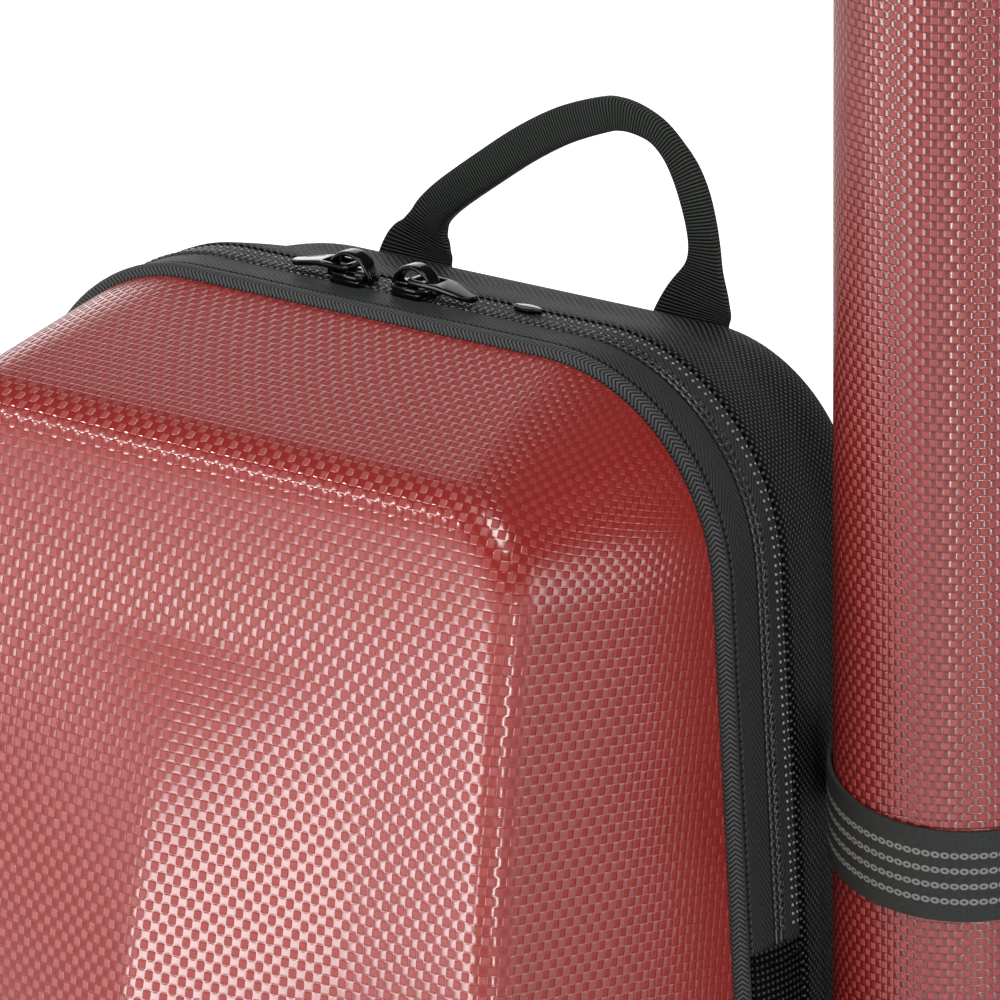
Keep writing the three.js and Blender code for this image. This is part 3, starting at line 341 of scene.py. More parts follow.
def joined_shapes(shapes):
    """Puts several shapes in one bmesh by way of a mesh for each."""
    whole = bmesh.new()
    whole.loops.layers.uv.new("pattern")
    for shape in shapes:
        data = bpy.data.meshes.new("part")
        bmesh.ops.recalc_face_normals(shape, faces=shape.faces)
        shape.to_mesh(data)
        shape.free()
        whole.from_mesh(data)
        bpy.data.meshes.remove(data)
    return whole


# Outline of the case

FLARE_END_Z = CASE_HEIGHT - FLARE_END_BELOW_TOP
BELLY_X = CASE_HALF_WIDTH - BELLY_RADIUS
BELLY_Z = FLARE_END_Z - BELLY_RADIUS * math.sin(FLARE)
SHOULDER_Z = CASE_HEIGHT - TOP_CORNER + TOP_CORNER * math.sin(FLARE)
SHOULDER_X = BELLY_X + BELLY_RADIUS * math.cos(FLARE) - (SHOULDER_Z - FLARE_END_Z) * math.tan(FLARE)
SIDE_BOTTOM = RIM_GROUND + BOTTOM_CORNER
ZIP_END_SHARE = (SHOULDER_Z - CASE_HEIGHT + ZIP_END_BELOW_TOP) / (SHOULDER_Z - SIDE_BOTTOM)


def side_place(z, inset):
    radius = BELLY_RADIUS - inset
    above = z - BELLY_Z
    if above > radius * math.sin(FLARE):
        return SHOULDER_X + (SHOULDER_Z - z) * math.tan(FLARE) - inset / math.cos(FLARE), z, FLARE
    if above > 0:
        return BELLY_X + math.sqrt(radius * radius - above * above), z, math.asin(above / radius)
    return CASE_HALF_WIDTH - inset, z, 0.0


def half_outline(top, side, bottom, top_corner, bottom_corner):
    """Right half of the outline from the top's middle to the bottom's, as x, z and outward angle."""
    corner_z = CASE_HEIGHT - top - top_corner
    corner_x = SHOULDER_X + (SHOULDER_Z - corner_z) * math.tan(FLARE) - (side + top_corner) / math.cos(FLARE)
    places = [(corner_x * i / TOP_STEPS, CASE_HEIGHT - top, math.pi / 2) for i in range(TOP_STEPS)]
    for i in range(CORNER_STEPS):
        angle = blend_value(math.pi / 2, FLARE, i / CORNER_STEPS)
        places.append((corner_x + top_corner * math.cos(angle), corner_z + top_corner * math.sin(angle),
                       angle))
    high = corner_z + top_corner * math.sin(FLARE)
    low = RIM_GROUND + bottom + bottom_corner
    split = blend_value(high, low, ZIP_END_SHARE)
    for start, stop, steps in ((high, split, UPPER_SIDE_STEPS), (split, low, LOWER_SIDE_STEPS)):
        places += [side_place(blend_value(start, stop, i / steps), side) for i in range(steps)]
    foot = CASE_HALF_WIDTH - side - bottom_corner
    for i in range(CORNER_STEPS):
        angle = blend_value(0, -math.pi / 2, i / CORNER_STEPS)
        places.append((foot + bottom_corner * math.cos(angle), low + bottom_corner * math.sin(angle), angle))
    base = RIM_GROUND + bottom
    places += [(foot * (1 - i / BOTTOM_STEPS), base, -math.pi / 2) for i in range(BOTTOM_STEPS + 1)]
    return places


ZIP_END_INDEX = TOP_STEPS + CORNER_STEPS + UPPER_SIDE_STEPS
HINGE_END_INDEX = ZIP_END_INDEX + LOWER_SIDE_STEPS
RING_COUNT = 2 * (HINGE_END_INDEX + CORNER_STEPS + BOTTOM_STEPS)


def full_outline(*spec):
    """The whole outline, clockwise from the top's middle, with its first place again at the end."""
    right = half_outline(*spec)
    left = [(-x, z, math.pi - angle) for x, z, angle in reversed(right[1:-1])]
    return right + left + right[:1]


def offset_outline(offset):
    """The rim outline moved outwards by an offset."""
    return full_outline(-offset, -offset, -offset, TOP_CORNER + offset, BOTTOM_CORNER + offset)


def distances(points):
    """How far along a row of points each one lies."""
    total = [0.0]
    for a, b in zip(points, points[1:]):
        total.append(total[-1] + math.dist(a, b))
    return total


RIM_RUN = distances([place_[:2] for place_ in offset_outline(0)])


def rim_band(section, start=0, stop=None, across=None):
    """Carries a section of (offset, y) corners along the rim, its pattern running along it in millimetres.

    A third number is a bulge outwards, which dies away towards the base.
    """
    stop = RING_COUNT if stop is None else stop
    across = across or distances([corner[:2] for corner in section])
    outlines = [offset_outline(corner[0]) for corner in section]
    bulges = [corner[2] if len(corner) > 2 else 0.0 for corner in section]
    rings, uvs = [], []
    for index in range(start, stop + 1):
        turn, number = divmod(index, RING_COUNT)
        run = RIM_RUN[number] + turn * RIM_RUN[-1]
        ring = []
        for outline, corner, bulge in zip(outlines, section, bulges):
            x, z, angle = outline[number]
            bulge *= smooth((z - BULGE_END_Z) / BULGE_FADE)
            ring.append(place(x + bulge * math.cos(angle), corner[1], z + bulge * math.sin(angle)))
        rings.append(ring)
        uvs.append([(run, value) for value in across])
    return lofted(rings, uvs)


# Materials


def add(tree, kind, inputs=None, out=0, **options):
    """Adds a node, gives it its options and inputs, links the sockets among them and returns one output."""
    made = tree.nodes.new("ShaderNode" + kind)
    for name, value in options.items():
        setattr(made, name, value)
    for name, value in (inputs or {}).items():
        if isinstance(value, bpy.types.NodeSocket):
            tree.links.new(value, made.inputs[name])
        else:
            made.inputs[name].default_value = value
    return made.outputs[out]


def finish_material(name, sockets):
    """A material of one Principled shader with some sockets set, its node tree and the shader."""
    material = bpy.data.materials.new(name)
    material.use_nodes = True
    tree = material.node_tree
    shader = tree.nodes["Principled BSDF"]
    for socket, value in sockets.items():
        shader.inputs[socket].default_value = value
    return material, tree, shader


def shade_and_relief(tree, shader, share, dark, light, height, depth):
    """Mixes two colours by a share, raises a relief from a height, and gives both to the shader."""
    shade = add(tree, "Mix", {"Factor": share, "A": (*dark, 1), "B": (*light, 1)}, out=2, data_type="RGBA")
    bump = add(tree, "Bump", {"Height": height, "Strength": 1.0, "Distance": depth})
    tree.links.new(shade, shader.inputs["Base Color"])
    tree.links.new(bump, shader.inputs["Normal"])


def toned(colour, factor):
    return tuple(factor * value for value in colour)


def pattern_places(tree, pitch_u, pitch_v, turn=0.0):
    """The pattern map's two distances, in cells of the given pitches in metres."""
    uv = add(tree, "UVMap", uv_map="pattern")
    scaled = add(tree, "Mapping", {"Vector": uv, "Rotation": (0, 0, turn)}, vector_type="POINT")
    scaled = add(tree, "VectorMath", {0: scaled, 1: (MM / pitch_u, MM / pitch_v, 1)}, operation="MULTIPLY")
    parts = add(tree, "SeparateXYZ", {0: scaled}).node.outputs
    return parts[0], parts[1]


def from_middle(tree, value):
    """How far a number of cells lies from the middle of its own cell."""
    share = add(tree, "Math", {0: value}, operation="FRACT")
    return add(tree, "Math", {0: share, 1: 0.5}, operation="SUBTRACT")


def fading(tree, value, start, stop):
    """1 where a value is near 0, fading to 0 on either side of it between two distances."""
    away = add(tree, "Math", {0: value}, operation="ABSOLUTE")
    return add(tree, "MapRange", {"Value": away, "From Min": start, "From Max": stop, "To Min": 1.0,
                                  "To Max": 0.0}, interpolation_type="SMOOTHSTEP")


def plain_weave(tree, u, v, flat):
    """Over-and-under squares: the upper thread, 0 or 1, each thread's crown and the squares' fading rims."""
    cell_u = add(tree, "Math", {0: u}, operation="FLOOR")
    cell_v = add(tree, "Math", {0: v}, operation="FLOOR")
    number = add(tree, "Math", {0: cell_u, 1: cell_v}, operation="ADD")
    over = add(tree, "Math", {0: number, 1: 1.0}, operation="PINGPONG")
    crowns, edges = [], []
    for value in (u, v):
        centred = from_middle(tree, value)
        turned = add(tree, "Math", {0: centred, 1: math.pi}, operation="MULTIPLY")
        crowns.append(add(tree, "Math", {0: turned}, operation="COSINE"))
        edges.append(fading(tree, centred, flat, 0.5))
    return over, crowns, edges


def crossing_threads(tree, u, v, flat):
    """The height of a plain weave whose threads are equally rounded both ways."""
    over, crowns, edges = plain_weave(tree, u, v, flat)
    up = add(tree, "Math", {0: crowns[1], 1: edges[0]}, operation="MULTIPLY")
    along = add(tree, "Math", {0: crowns[0], 1: edges[1]}, operation="MULTIPLY")
    return add(tree, "Mix", {"Factor": over, "A": up, "B": along}, data_type="FLOAT")


def embossed_polycarbonate(name, cell_u, cell_v, depth, crown, painted_shade):
    """Moulded polycarbonate sheet embossed with a plain weave.

    The squares of the upright threads are glossy and rounded from side to side. Those between are matt and
    flat, lean a little sideways and have a glossy rim. The red of the glossy squares and rims is dimmed by a
    factor, as painted shade that stands in for the dark surroundings they mirror.
    """
    material, tree, shader = finish_material(name, {"IOR": 1.58, "Specular IOR Level": 0.75})
    u, v = pattern_places(tree, cell_u, cell_v)
    over, crowns, edges = plain_weave(tree, u, v, 0.32)
    square = add(tree, "Math", {0: edges[0], 1: edges[1]}, operation="MULTIPLY")
    rounded = add(tree, "Math", {0: crowns[0], 1: edges[1]}, operation="MULTIPLY")
    rounded = add(tree, "Math", {0: rounded, 1: crown}, operation="MULTIPLY")
    height = add(tree, "Mix", {"Factor": over, "A": rounded, "B": square}, data_type="FLOAT")
    core = add(tree, "Math", {0: over, 1: square}, operation="MULTIPLY")
    rough = add(tree, "Mix", {"Factor": core, "A": GLOSSY_SQUARE, "B": MATT_SQUARE}, data_type="FLOAT")
    red = settings().shell_colour[:]
    # Painted shade: the glossy squares and the matt squares' rims get their red darkened by a factor, for the dark
    # surroundings that they mirror
    shade = add(tree, "Mix", {"Factor": core, "A": (*toned(red, painted_shade), 1), "B": (*red, 1)}, out=2,
                data_type="RGBA")
    tree.links.new(shade, shader.inputs["Base Color"])
    side = add(tree, "Tangent", direction_type="UV_MAP", uv_map="pattern")
    lean = add(tree, "Math", {0: core, 1: SQUARE_LEAN}, operation="MULTIPLY")
    aside = add(tree, "VectorMath", {0: side, "Scale": lean}, operation="SCALE")
    leaning = add(tree, "VectorMath", {0: add(tree, "NewGeometry", out=1), 1: aside}, operation="ADD")
    leaning = add(tree, "VectorMath", {0: leaning}, operation="NORMALIZE")
    bump = add(tree, "Bump", {"Height": height, "Strength": 1.0, "Distance": depth, "Normal": leaning})
    tree.links.new(rough, shader.inputs["Roughness"])
    tree.links.new(bump, shader.inputs["Normal"])
    return material


def woven_nylon(name, colour, thread, lift=12.0, turn=math.pi / 4, depth=0.6 * MM):
    """Coarse woven polyamide: twisted threads with a painted highlight on their crowns and painted shade in between.
    """
    material, tree, shader = finish_material(name, {"Roughness": 0.6, "IOR": 1.53, "Specular IOR Level": 0.09})
    u, v = pattern_places(tree, thread, thread, turn)
    height = crossing_threads(tree, u, v, 0.15)
    # Painted highlight and shade: the colour runs from near black between the threads to lift times the nylon's
    # colour on their crowns
    crown = add(tree, "MapRange", {"Value": height, "From Min": 0.74, "From Max": 1.0})
    shade_and_relief(tree, shader, crown, toned(colour, 0.04), toned(colour, lift), height, depth)
    return material


def herringbone(name, dark, light, pitch, slope, row, share, depth):
    """Braided or twill fabric: slanted strands that turn back at the middle of each row, in V shapes, with a painted
    highlight on each strand's crown and painted shade between strands.
    """
    material, tree, shader = finish_material(name, {"Roughness": 0.6, "IOR": 1.53, "Specular IOR Level": 0.2})
    u, v = pattern_places(tree, MM, MM)
    folded = add(tree, "Math", {0: v, 1: row}, operation="PINGPONG")
    slant = add(tree, "Math", {0: folded, 1: slope}, operation="MULTIPLY")
    run = add(tree, "Math", {0: u, 1: slant}, operation="ADD")
    phase = add(tree, "Math", {0: run, 1: pitch / MM}, operation="DIVIDE")
    height = fading(tree, from_middle(tree, phase), share / 2, 0.5)
    # Painted highlight and shade: the strands' crowns take the light colour, the grooves between them the dark one
    shade_and_relief(tree, shader, height, dark, light, height, depth)
    return material


def ribbed_webbing(name, colour, rib):
    """Woven polyamide webbing: fine ribs straight across, each a row of small slanted threads, with a painted
    highlight on the ribs' crowns and painted shade between them.
    """
    material, tree, shader = finish_material(name, {"Roughness": 0.6, "IOR": 1.53, "Specular IOR Level": 0.05})
    u, v = pattern_places(tree, rib, rib)
    turned = add(tree, "Math", {0: u, 1: 2 * math.pi}, operation="MULTIPLY")
    rib_wave = add(tree, "Math", {0: turned}, operation="SINE")
    slant = add(tree, "Math", {0: u, 1: v}, operation="ADD")
    fine = add(tree, "Math", {0: slant, 1: 4 * math.pi}, operation="MULTIPLY")
    fine = add(tree, "Math", {0: fine}, operation="SINE")
    mixed = add(tree, "Math", {0: fine, 1: 0.25, 2: rib_wave}, operation="MULTIPLY_ADD")
    height = add(tree, "MapRange", {"Value": mixed, "From Min": -1.0, "From Max": 1.0})
    # Painted highlight and shade: the ribs' crowns are lifted far above the webbing's colour and the hollows
    # darkened
    shade_and_relief(tree, shader, height, toned(colour, 0.08), toned(colour, 7.5), height, 0.4 * MM)
    return material


def knitted_elastic(name, colour, light):
    """Knitted elastic: fine ribs across, and four rows of pale oval loops along it."""
    material, tree, shader = finish_material(name, {"Roughness": 0.7, "Specular IOR Level": 0.25})
    u, v = pattern_places(tree, MM, MM)
    level = add(tree, "Math", {0: v, 1: LOOP_ROW_START}, operation="SUBTRACT")
    ovals = []
    for value, pitch, radius in ((u, LOOP_PITCH, LOOP_LENGTH), (level, LOOP_ROW, LOOP_WIDTH)):
        cell = add(tree, "Math", {0: value, 1: pitch}, operation="DIVIDE")
        share = add(tree, "Math", {0: from_middle(tree, cell), 1: pitch / radius}, operation="MULTIPLY")
        ovals.append(add(tree, "Math", {0: share, 1: share}, operation="MULTIPLY"))
    radius = add(tree, "Math", {0: ovals[0], 1: ovals[1]}, operation="ADD")
    radius = add(tree, "Math", {0: radius}, operation="SQRT")
    away = add(tree, "Math", {0: radius, 1: 0.72}, operation="SUBTRACT")
    ring = fading(tree, away, 0.2, 0.44)
    inside = add(tree, "Math", {0: level}, operation="ABSOLUTE")
    inside = add(tree, "Math", {0: inside, 1: 2 * LOOP_ROW}, operation="LESS_THAN")
    ring = add(tree, "Math", {0: ring, 1: inside}, operation="MULTIPLY")
    rib = add(tree, "Math", {0: u, 1: 2 * math.pi / 0.9}, operation="MULTIPLY")
    rib = add(tree, "Math", {0: rib}, operation="SINE")
    where = add(tree, "TexCoord", out=3)
    wave = add(tree, "TexNoise", {"Vector": where, "Scale": 1 / (1.2 * MM), "Detail": 2.0})
    knit = add(tree, "Math", {0: rib, 1: 0.12, 2: wave}, operation="MULTIPLY_ADD")
    ground = add(tree, "Mix", {"Factor": knit, "A": (*toned(colour, 0.5), 1), "B": (*toned(colour, 1.5), 1)},
                 out=2, data_type="RGBA")
    shade = add(tree, "Mix", {"Factor": ring, "A": ground, "B": (*light, 1)}, out=2, data_type="RGBA")
    height = add(tree, "Math", {0: knit, 1: 0.3, 2: ring}, operation="MULTIPLY_ADD")
    bump = add(tree, "Bump", {"Height": height, "Strength": 1.0, "Distance": 0.25 * MM})
    tree.links.new(shade, shader.inputs["Base Color"])
    tree.links.new(bump, shader.inputs["Normal"])
    return material


def grained(name, colour, rough, grain, depth, lift=1.25, **sockets):
    """Moulded, enamelled, foamed or rubber surface: an even colour with a fine random grain."""
    material, tree, shader = finish_material(name, {"Roughness": rough, **sockets})
    wave = add(tree, "TexNoise", {"Vector": add(tree, "TexCoord", out=3), "Scale": 1 / grain, "Detail": 3.0})
    shade_and_relief(tree, shader, wave, toned(colour, 1 / lift), toned(colour, lift), wave, depth)
    return material


def make_finishes():
    """Every finish of the case, by the name that the pieces ask for."""
    s = settings()
    nylon = s.nylon_colour[:]
    # Polycarbonate sheet, embossed and formed warm: satin red with a sheen that follows the weave, and painted shade
    # that darkens the red of its glossy squares, far more on the tube
    for name, cell, stretch, crown, painted_shade in (("shell", s.shell_cell, 1.02, 0.45, 0.88),
                                            ("tube", s.tube_cell, 1.11, 1.0, 0.6)):
        finishes[name] = embossed_polycarbonate(f"embossed_polycarbonate_{name}", cell, cell * stretch,
                                                0.16 * MM, crown, painted_shade)
    # Ballistic polyamide: thick threads in a lozenge, near black, their crowns painted grey as a highlight and the
    # gaps painted darker as shade
    finishes["nylon"] = woven_nylon("ballistic_nylon", nylon, s.nylon_thread)
    # Braided polyester over a cord: near black, with grey strands in V shapes that are a painted highlight, and
    # painted shade between them
    finishes["braid"] = herringbone("braided_piping", linear("030303"), linear("525454"), s.braid_pitch,
                                    slope=0.8, row=2.35, share=0.28, depth=0.4 * MM)
    # Zip tape: twill that turns back in the middle, drawn at twice its real pitch so that it shows, its strands
    # painted lighter as a highlight and the gaps darker as shade
    finishes["tape"] = herringbone("zip_tape_twill", linear("050606"), linear("3A3C3C"), 2.3 * MM,
                                   slope=-1.6, row=5.4, share=0.5, depth=0.25 * MM)
    # Polyamide webbing: fine ribs, near black with a green-grey tone, with a painted highlight on the ribs and
    # painted shade between them
    finishes["webbing"] = ribbed_webbing("ribbed_webbing", s.webbing_colour[:], s.rib_pitch)
    # Woven polyamide strip at the hinge: a coarser basket of thicker threads, with painted highlights on their
    # crowns and painted shade between them
    finishes["hinge"] = woven_nylon("hinge_basket_weave", nylon, 2.1 * MM, lift=7.0, turn=0.0)
    # Spacer mesh: an open knit of small cells over foam, with painted highlights on the cells' crowns and painted
    # shade between them
    finishes["mesh"] = woven_nylon("spacer_mesh", nylon, 2.6 * MM, lift=6.0, depth=0.8 * MM)
    # Knitted elastic: dark grey with rows of pale loops
    finishes["elastic"] = knitted_elastic("knitted_elastic", s.elastic_colour[:], linear("868885"))
    # Polyester coil: smooth and glossy enough for small glints
    finishes["coil"] = grained("polyester_coil", linear("303232"), 0.22, 2 * MM, 0.01 * MM)
    # Polyester sewing thread: grey and glossy enough to glint
    finishes["thread"] = grained("sewing_thread", linear("9C9E9A"), 0.3, 0.6 * MM, 0.02 * MM)
    # Enamel on die-cast zinc: deep black gloss
    finishes["enamel"] = grained("black_enamel", linear("050606"), 0.14, 6 * MM, 0.01 * MM,
                                 **{"Specular IOR Level": 0.26})
    # Moulded polypropylene: satin black with a fine spark-eroded grain
    finishes["plastic"] = grained("moulded_polypropylene", linear("161616"), 0.48, 0.8 * MM, 0.04 * MM)
    # Styrene-butadiene rubber: dull and slightly grey
    finishes["rubber"] = grained("moulded_rubber", linear("18191A"), 0.68, 1.2 * MM, 0.05 * MM)
    # Polyester velour: short dense pile with a soft sheen
    finishes["plush"] = grained("polyester_velour", s.plush_colour[:], 0.95, 1.6 * MM, 0.25 * MM, 1.35,
                                **{"Sheen Weight": 0.5, "Sheen Roughness": 0.5})
    # Closed-cell polyethylene foam
    finishes["foam"] = grained("polyethylene_foam", linear("3A3C3E"), 0.9, 1.4 * MM, 0.15 * MM)


# Front shell


def plateau_depth(z):
    below = CASE_HEIGHT - TOP_WALL_INSET - z
    rise = clamp(below / (PLATEAU_FULL_BELOW_TOP - TOP_WALL_INSET))
    upper = blend_value(PLATEAU_TOP_DEPTH, PLATEAU_FULL_DEPTH, rise * (2 - rise))
    fall = max(0.0, (PLATEAU_FALL_HEIGHT - z) / (PLATEAU_FALL_HEIGHT - RIM_GROUND - BOTTOM_WALL_INSET))
    return upper - (PLATEAU_FULL_DEPTH - PLATEAU_BOTTOM_DEPTH) * min(1.0, fall) ** 2


def keel_rise(x, z):
    """How far the ridge down the shell's middle stands out, with its crest and its foot slightly rounded."""
    from_top = (CASE_HEIGHT - KEEL_START_BELOW_TOP - z) / KEEL_GROWTH
    from_bottom = (z - KEEL_BOTTOM_START) / KEEL_BOTTOM_GROWTH
    lengthwise = min(clamp(from_top), smooth(from_bottom))
    crest = 2.5
    foot = 5.0
    across = KEEL_HALF_WIDTH - math.hypot(x, crest)
    across = (across + math.hypot(across, foot)) / 2
    return KEEL_HEIGHT * lengthwise * across / KEEL_HALF_WIDTH


def shares(count, power=1.0):
    return [((i + 1) / count) ** power for i in range(count)]


def shell_rings(inset, wall, fillet, plateau):
    """The shell's surface as rings from the rim to its middle line, with the weave's map on it."""
    rim = offset_outline(-inset)
    spec = [TOP_WALL_INSET + inset, SIDE_WALL_INSET + inset, BOTTOM_WALL_INSET + inset,
            PLATEAU_TOP_CORNER - inset, PLATEAU_BOTTOM_CORNER - inset]
    edge = full_outline(*spec)
    inner = full_outline(*[value + SHELL_FILLET for value in spec[:3]],
                         *[value - SHELL_FILLET for value in spec[3:]])

    def surface(x, z):
        return place(x, inset - plateau_depth(z) - keel_rise(x, z), z)

    rim_points = [place(x, 0, z) for x, z, _ in rim]
    edge_points = [place(x, inset - plateau_depth(z), z) for x, z, _ in edge]
    inner_points = [surface(x, z) for x, z, _ in inner]
    starts = [a.lerp(b, 1 - SHELL_FILLET * MM / (b - a).length) for a, b in zip(rim_points, edge_points)]
    rings = [rim_points]
    rings += [[a.lerp(b, share) for a, b in zip(rim_points, starts)] for share in shares(wall)]
    for share in shares(fillet):
        rings.append([a.lerp(b, share).lerp(b.lerp(c, share), share)
                      for a, b, c in zip(starts, edge_points, inner_points)])
    walls = len(rings)
    spine_top = CASE_HEIGHT - TOP_WALL_INSET - SPINE_TOP_MARGIN
    spine_bottom = RIM_GROUND + BOTTOM_WALL_INSET + SPINE_BOTTOM_MARGIN
    for share in shares(plateau):
        rings.append([surface(x * (1 - share), blend_value(z, clamp(z, spine_bottom, spine_top), share))
                      for x, z, _ in inner])
    uvs = [[(point.x / MM, point.z / MM) for point in ring] for ring in rings[walls:]]
    outward = [Vector((math.cos(angle), math.sin(angle))) for _, _, angle in inner]
    run = [Vector((x, z)) for x, z, _ in inner]
    back = []
    for number in range(walls - 1, -1, -1):
        back.append([tuple(value) for value in run])
        if number:
            steps = [(a - b).length / MM for a, b in zip(rings[number], rings[number - 1])]
            run = [value + way * step for value, way, step in zip(run, outward, steps)]
    return rings, back[::-1] + uvs


def build_shell():
    """The embossed sheet from its outer to its inner surface, and the lining that lies inside it."""
    inside_lining = LINING_INSET + LINING_SHEET
    # Each surface's inset, and its number of rings on the wall, the fillet and the plateau
    for name, finish, node, outside, inside in (
            ("embossed_shell", "shell", "front_shell", (0, 18, 12, 34), (SHELL_SHEET, 3, 4, 8)),
            ("plush_lining", "plush", "lid_lining", (LINING_INSET, 3, 5, 12), (inside_lining, 3, 5, 12))):
        outer, uvs = shell_rings(*outside)
        inner, inner_uvs = shell_rings(*inside)
        shape = lofted(outer[::-1] + inner, uvs[::-1] + inner_uvs)
        piece(name, shape, finish, "lid", [node], crease=70)


# Piping, tapes, coils and gusset


def round_section(offset, y, radius_offset, radius_y, sides):
    """A round section that ends where it starts, and the distance round it from its outermost place."""
    angles = [2 * math.pi * i / sides - math.pi for i in range(sides + 1)]
    section = [(offset + radius_offset * math.cos(a), y + radius_y * math.sin(a)) for a in angles]
    return section, [radius_offset * a for a in angles]


def build_piping():
    section, across = round_section(PIPING_OFFSET, PIPING_Y, PIPING_RADIUS, PIPING_RADIUS, 20)
    piece("braided_piping", rim_band(section, across=across), "braid", "lid", ["lid_piping"])


def tape_section(front, back):
    """A flat tape's section with rounded corners, and the distance across its face from its middle."""
    edge = TAPE_FACE - TAPE_CORNER
    points = [(TAPE_BACK, front), (edge, front), (TAPE_FACE, front + TAPE_CORNER),
              (TAPE_FACE, back - TAPE_CORNER), (edge, back), (TAPE_BACK, back), (TAPE_BACK, front)]
    middle = (front + back) / 2
    return points, [y - middle for _, y in points]


def zip_band(section, across):
    """Carries a section along the zip, from the fabric hinge's lower end round the left side to its upper end."""
    return close_ends(rim_band(section, HINGE_END_INDEX, RING_COUNT + ZIP_END_INDEX, across))


def build_tapes():
    for name, edges, body in (("lid", LID_TAPE, "lid"), ("base", BASE_TAPE, "case_base")):
        piece(f"{name}_tape", zip_band(*tape_section(*edges)), "tape", body, [f"{name}_zip_tape"])


def zip_row(shape, pitch, offset, y, size, lean=0.0):
    """Adds a row of small rounded bars along the zip, each half as long, wide and high as size says."""
    ball = bmesh.new()
    bmesh.ops.create_uvsphere(ball, u_segments=8, v_segments=6, radius=MM)
    bar = bpy.data.meshes.new("bar")
    ball.to_mesh(bar)
    ball.free()
    start = RIM_RUN[HINGE_END_INDEX] + ZIP_END_MARGIN
    stop = RIM_RUN[ZIP_END_INDEX] + RIM_RUN[-1] - ZIP_END_MARGIN
    count = int((stop - start) / pitch)
    outline = offset_outline(offset)
    a = 0
    for number in range(count):
        run = blend_value(start, stop, number / count) % RIM_RUN[-1]
        while not RIM_RUN[a] <= run <= RIM_RUN[a + 1]:
            a = (a + 1) % RING_COUNT
        share = (run - RIM_RUN[a]) / (RIM_RUN[a + 1] - RIM_RUN[a])
        x, z = (blend_value(outline[a][k], outline[a + 1][k], share) for k in (0, 1))
        angle = outline[a][2]
        out = Vector((math.cos(angle), 0, math.sin(angle)))
        turn = Matrix((out.cross(FRONT), BACK, out)).transposed().to_4x4() @ Matrix.Rotation(lean, 4, "Z")
        copy = bar.copy()
        copy.transform(Matrix.Translation(place(x, y, z)) @ turn @ Matrix.Diagonal((*size, 1)))
        shape.from_mesh(copy)
        bpy.data.meshes.remove(copy)
    bpy.data.meshes.remove(bar)


def build_tape_stitches():
    """The two rows of stitches that hold the base tape to the side fabric."""
    shape = bmesh.new()
    for offset, y, size in STITCH_ROWS:
        zip_row(shape, STITCH_PITCH, offset, y, size)
    piece("base_tape_stitches", shape, "thread", "case_base", crease=80)


def build_coils():
    """Both sides of the zip: a row of slanted turns on each, over a core."""
    pitch = settings().coil_pitch / MM
    for name, y, lean, body in (("lid", LID_COIL_Y, COIL_LEAN, "lid"),
                                ("base", BASE_COIL_Y, -COIL_LEAN, "case_base")):
        turns = bmesh.new()
        zip_row(turns, pitch, COIL_OFFSET, y, COIL_TURN, lean)
        core = zip_band(*round_section(COIL_CORE_OFFSET, y, *COIL_CORE_RADII, 8))
        piece(f"{name}_coil", joined_shapes([turns, core]), "coil", body, [f"{name}_zip_coil"], crease=80)


def gusset_offset(y):
    """How far outside the rim the side fabric lies at a distance behind the rim plane."""
    if y <= GUSSET_STRAIGHT_END:
        return GUSSET_PROUD
    share = (y - GUSSET_STRAIGHT_END) / (BACK_DEPTH - GUSSET_STRAIGHT_END)
    return blend_value(GUSSET_PROUD, -BACK_INSET, share) + GUSSET_BOW * math.sin(math.pi * share)


def seam_roll(y):
    """How far the side fabric bulges where it rolls over to the seam at the back."""
    share = clamp((y - GUSSET_ROLL_START) / (BACK_DEPTH - GUSSET_ROLL_START))
    turn = clamp((share - SEAM_TURN) / (1 - SEAM_TURN))
    return SEAM_BULGE * smooth(share / SEAM_TURN) * math.sqrt(1 - turn * turn)


def build_gusset():
    depths = [blend_value(GUSSET_START, GUSSET_BEND_START, i / 22) for i in range(23)]
    depths += [blend_value(GUSSET_BEND_START, BACK_DEPTH, math.sin(math.pi / 2 * i / 10))
               for i in range(1, 11)]
    outer = [(gusset_offset(y), y, seam_roll(y)) for y in depths]
    inner = [(offset - GUSSET_SHEET, y, 0.0) for offset, y, _ in outer[::-1]]
    piece("side_nylon", rim_band(outer + inner + outer[:1]), "nylon", "case_base", ["side_cover"])


def level_ring(x, y, z, radius, sides):
    """Places round a level circle, with the first one again at the end."""
    angles = [math.tau * i / sides for i in range(sides + 1)]
    return [place(x + radius * math.cos(a), y + radius * math.sin(a), z) for a in angles]


def build_tube():
    """The tube's skin, up its outside and down its inside."""
    rows, sides = 160, 96
    low, high = (corner.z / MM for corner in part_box("tube_barrel"))
    heights = [blend_value(low, high, i / rows) for i in range(rows + 1)]
    rings, uvs = [], []
    for radius, levels in ((TUBE_RADIUS, heights), (TUBE_RADIUS - TUBE_WALL, heights[::-1])):
        for z in levels:
            rings.append(level_ring(TUBE_X, TUBE_Y, z, radius, sides))
            uvs.append([(TUBE_RADIUS * math.tau * i / sides, z) for i in range(sides + 1)])
    piece("tube_skin", lofted(rings + rings[:1], uvs + uvs[:1]), "tube", "bow_tube", ["tube_barrel"])


# Webbing, elastic and the fabric hinge


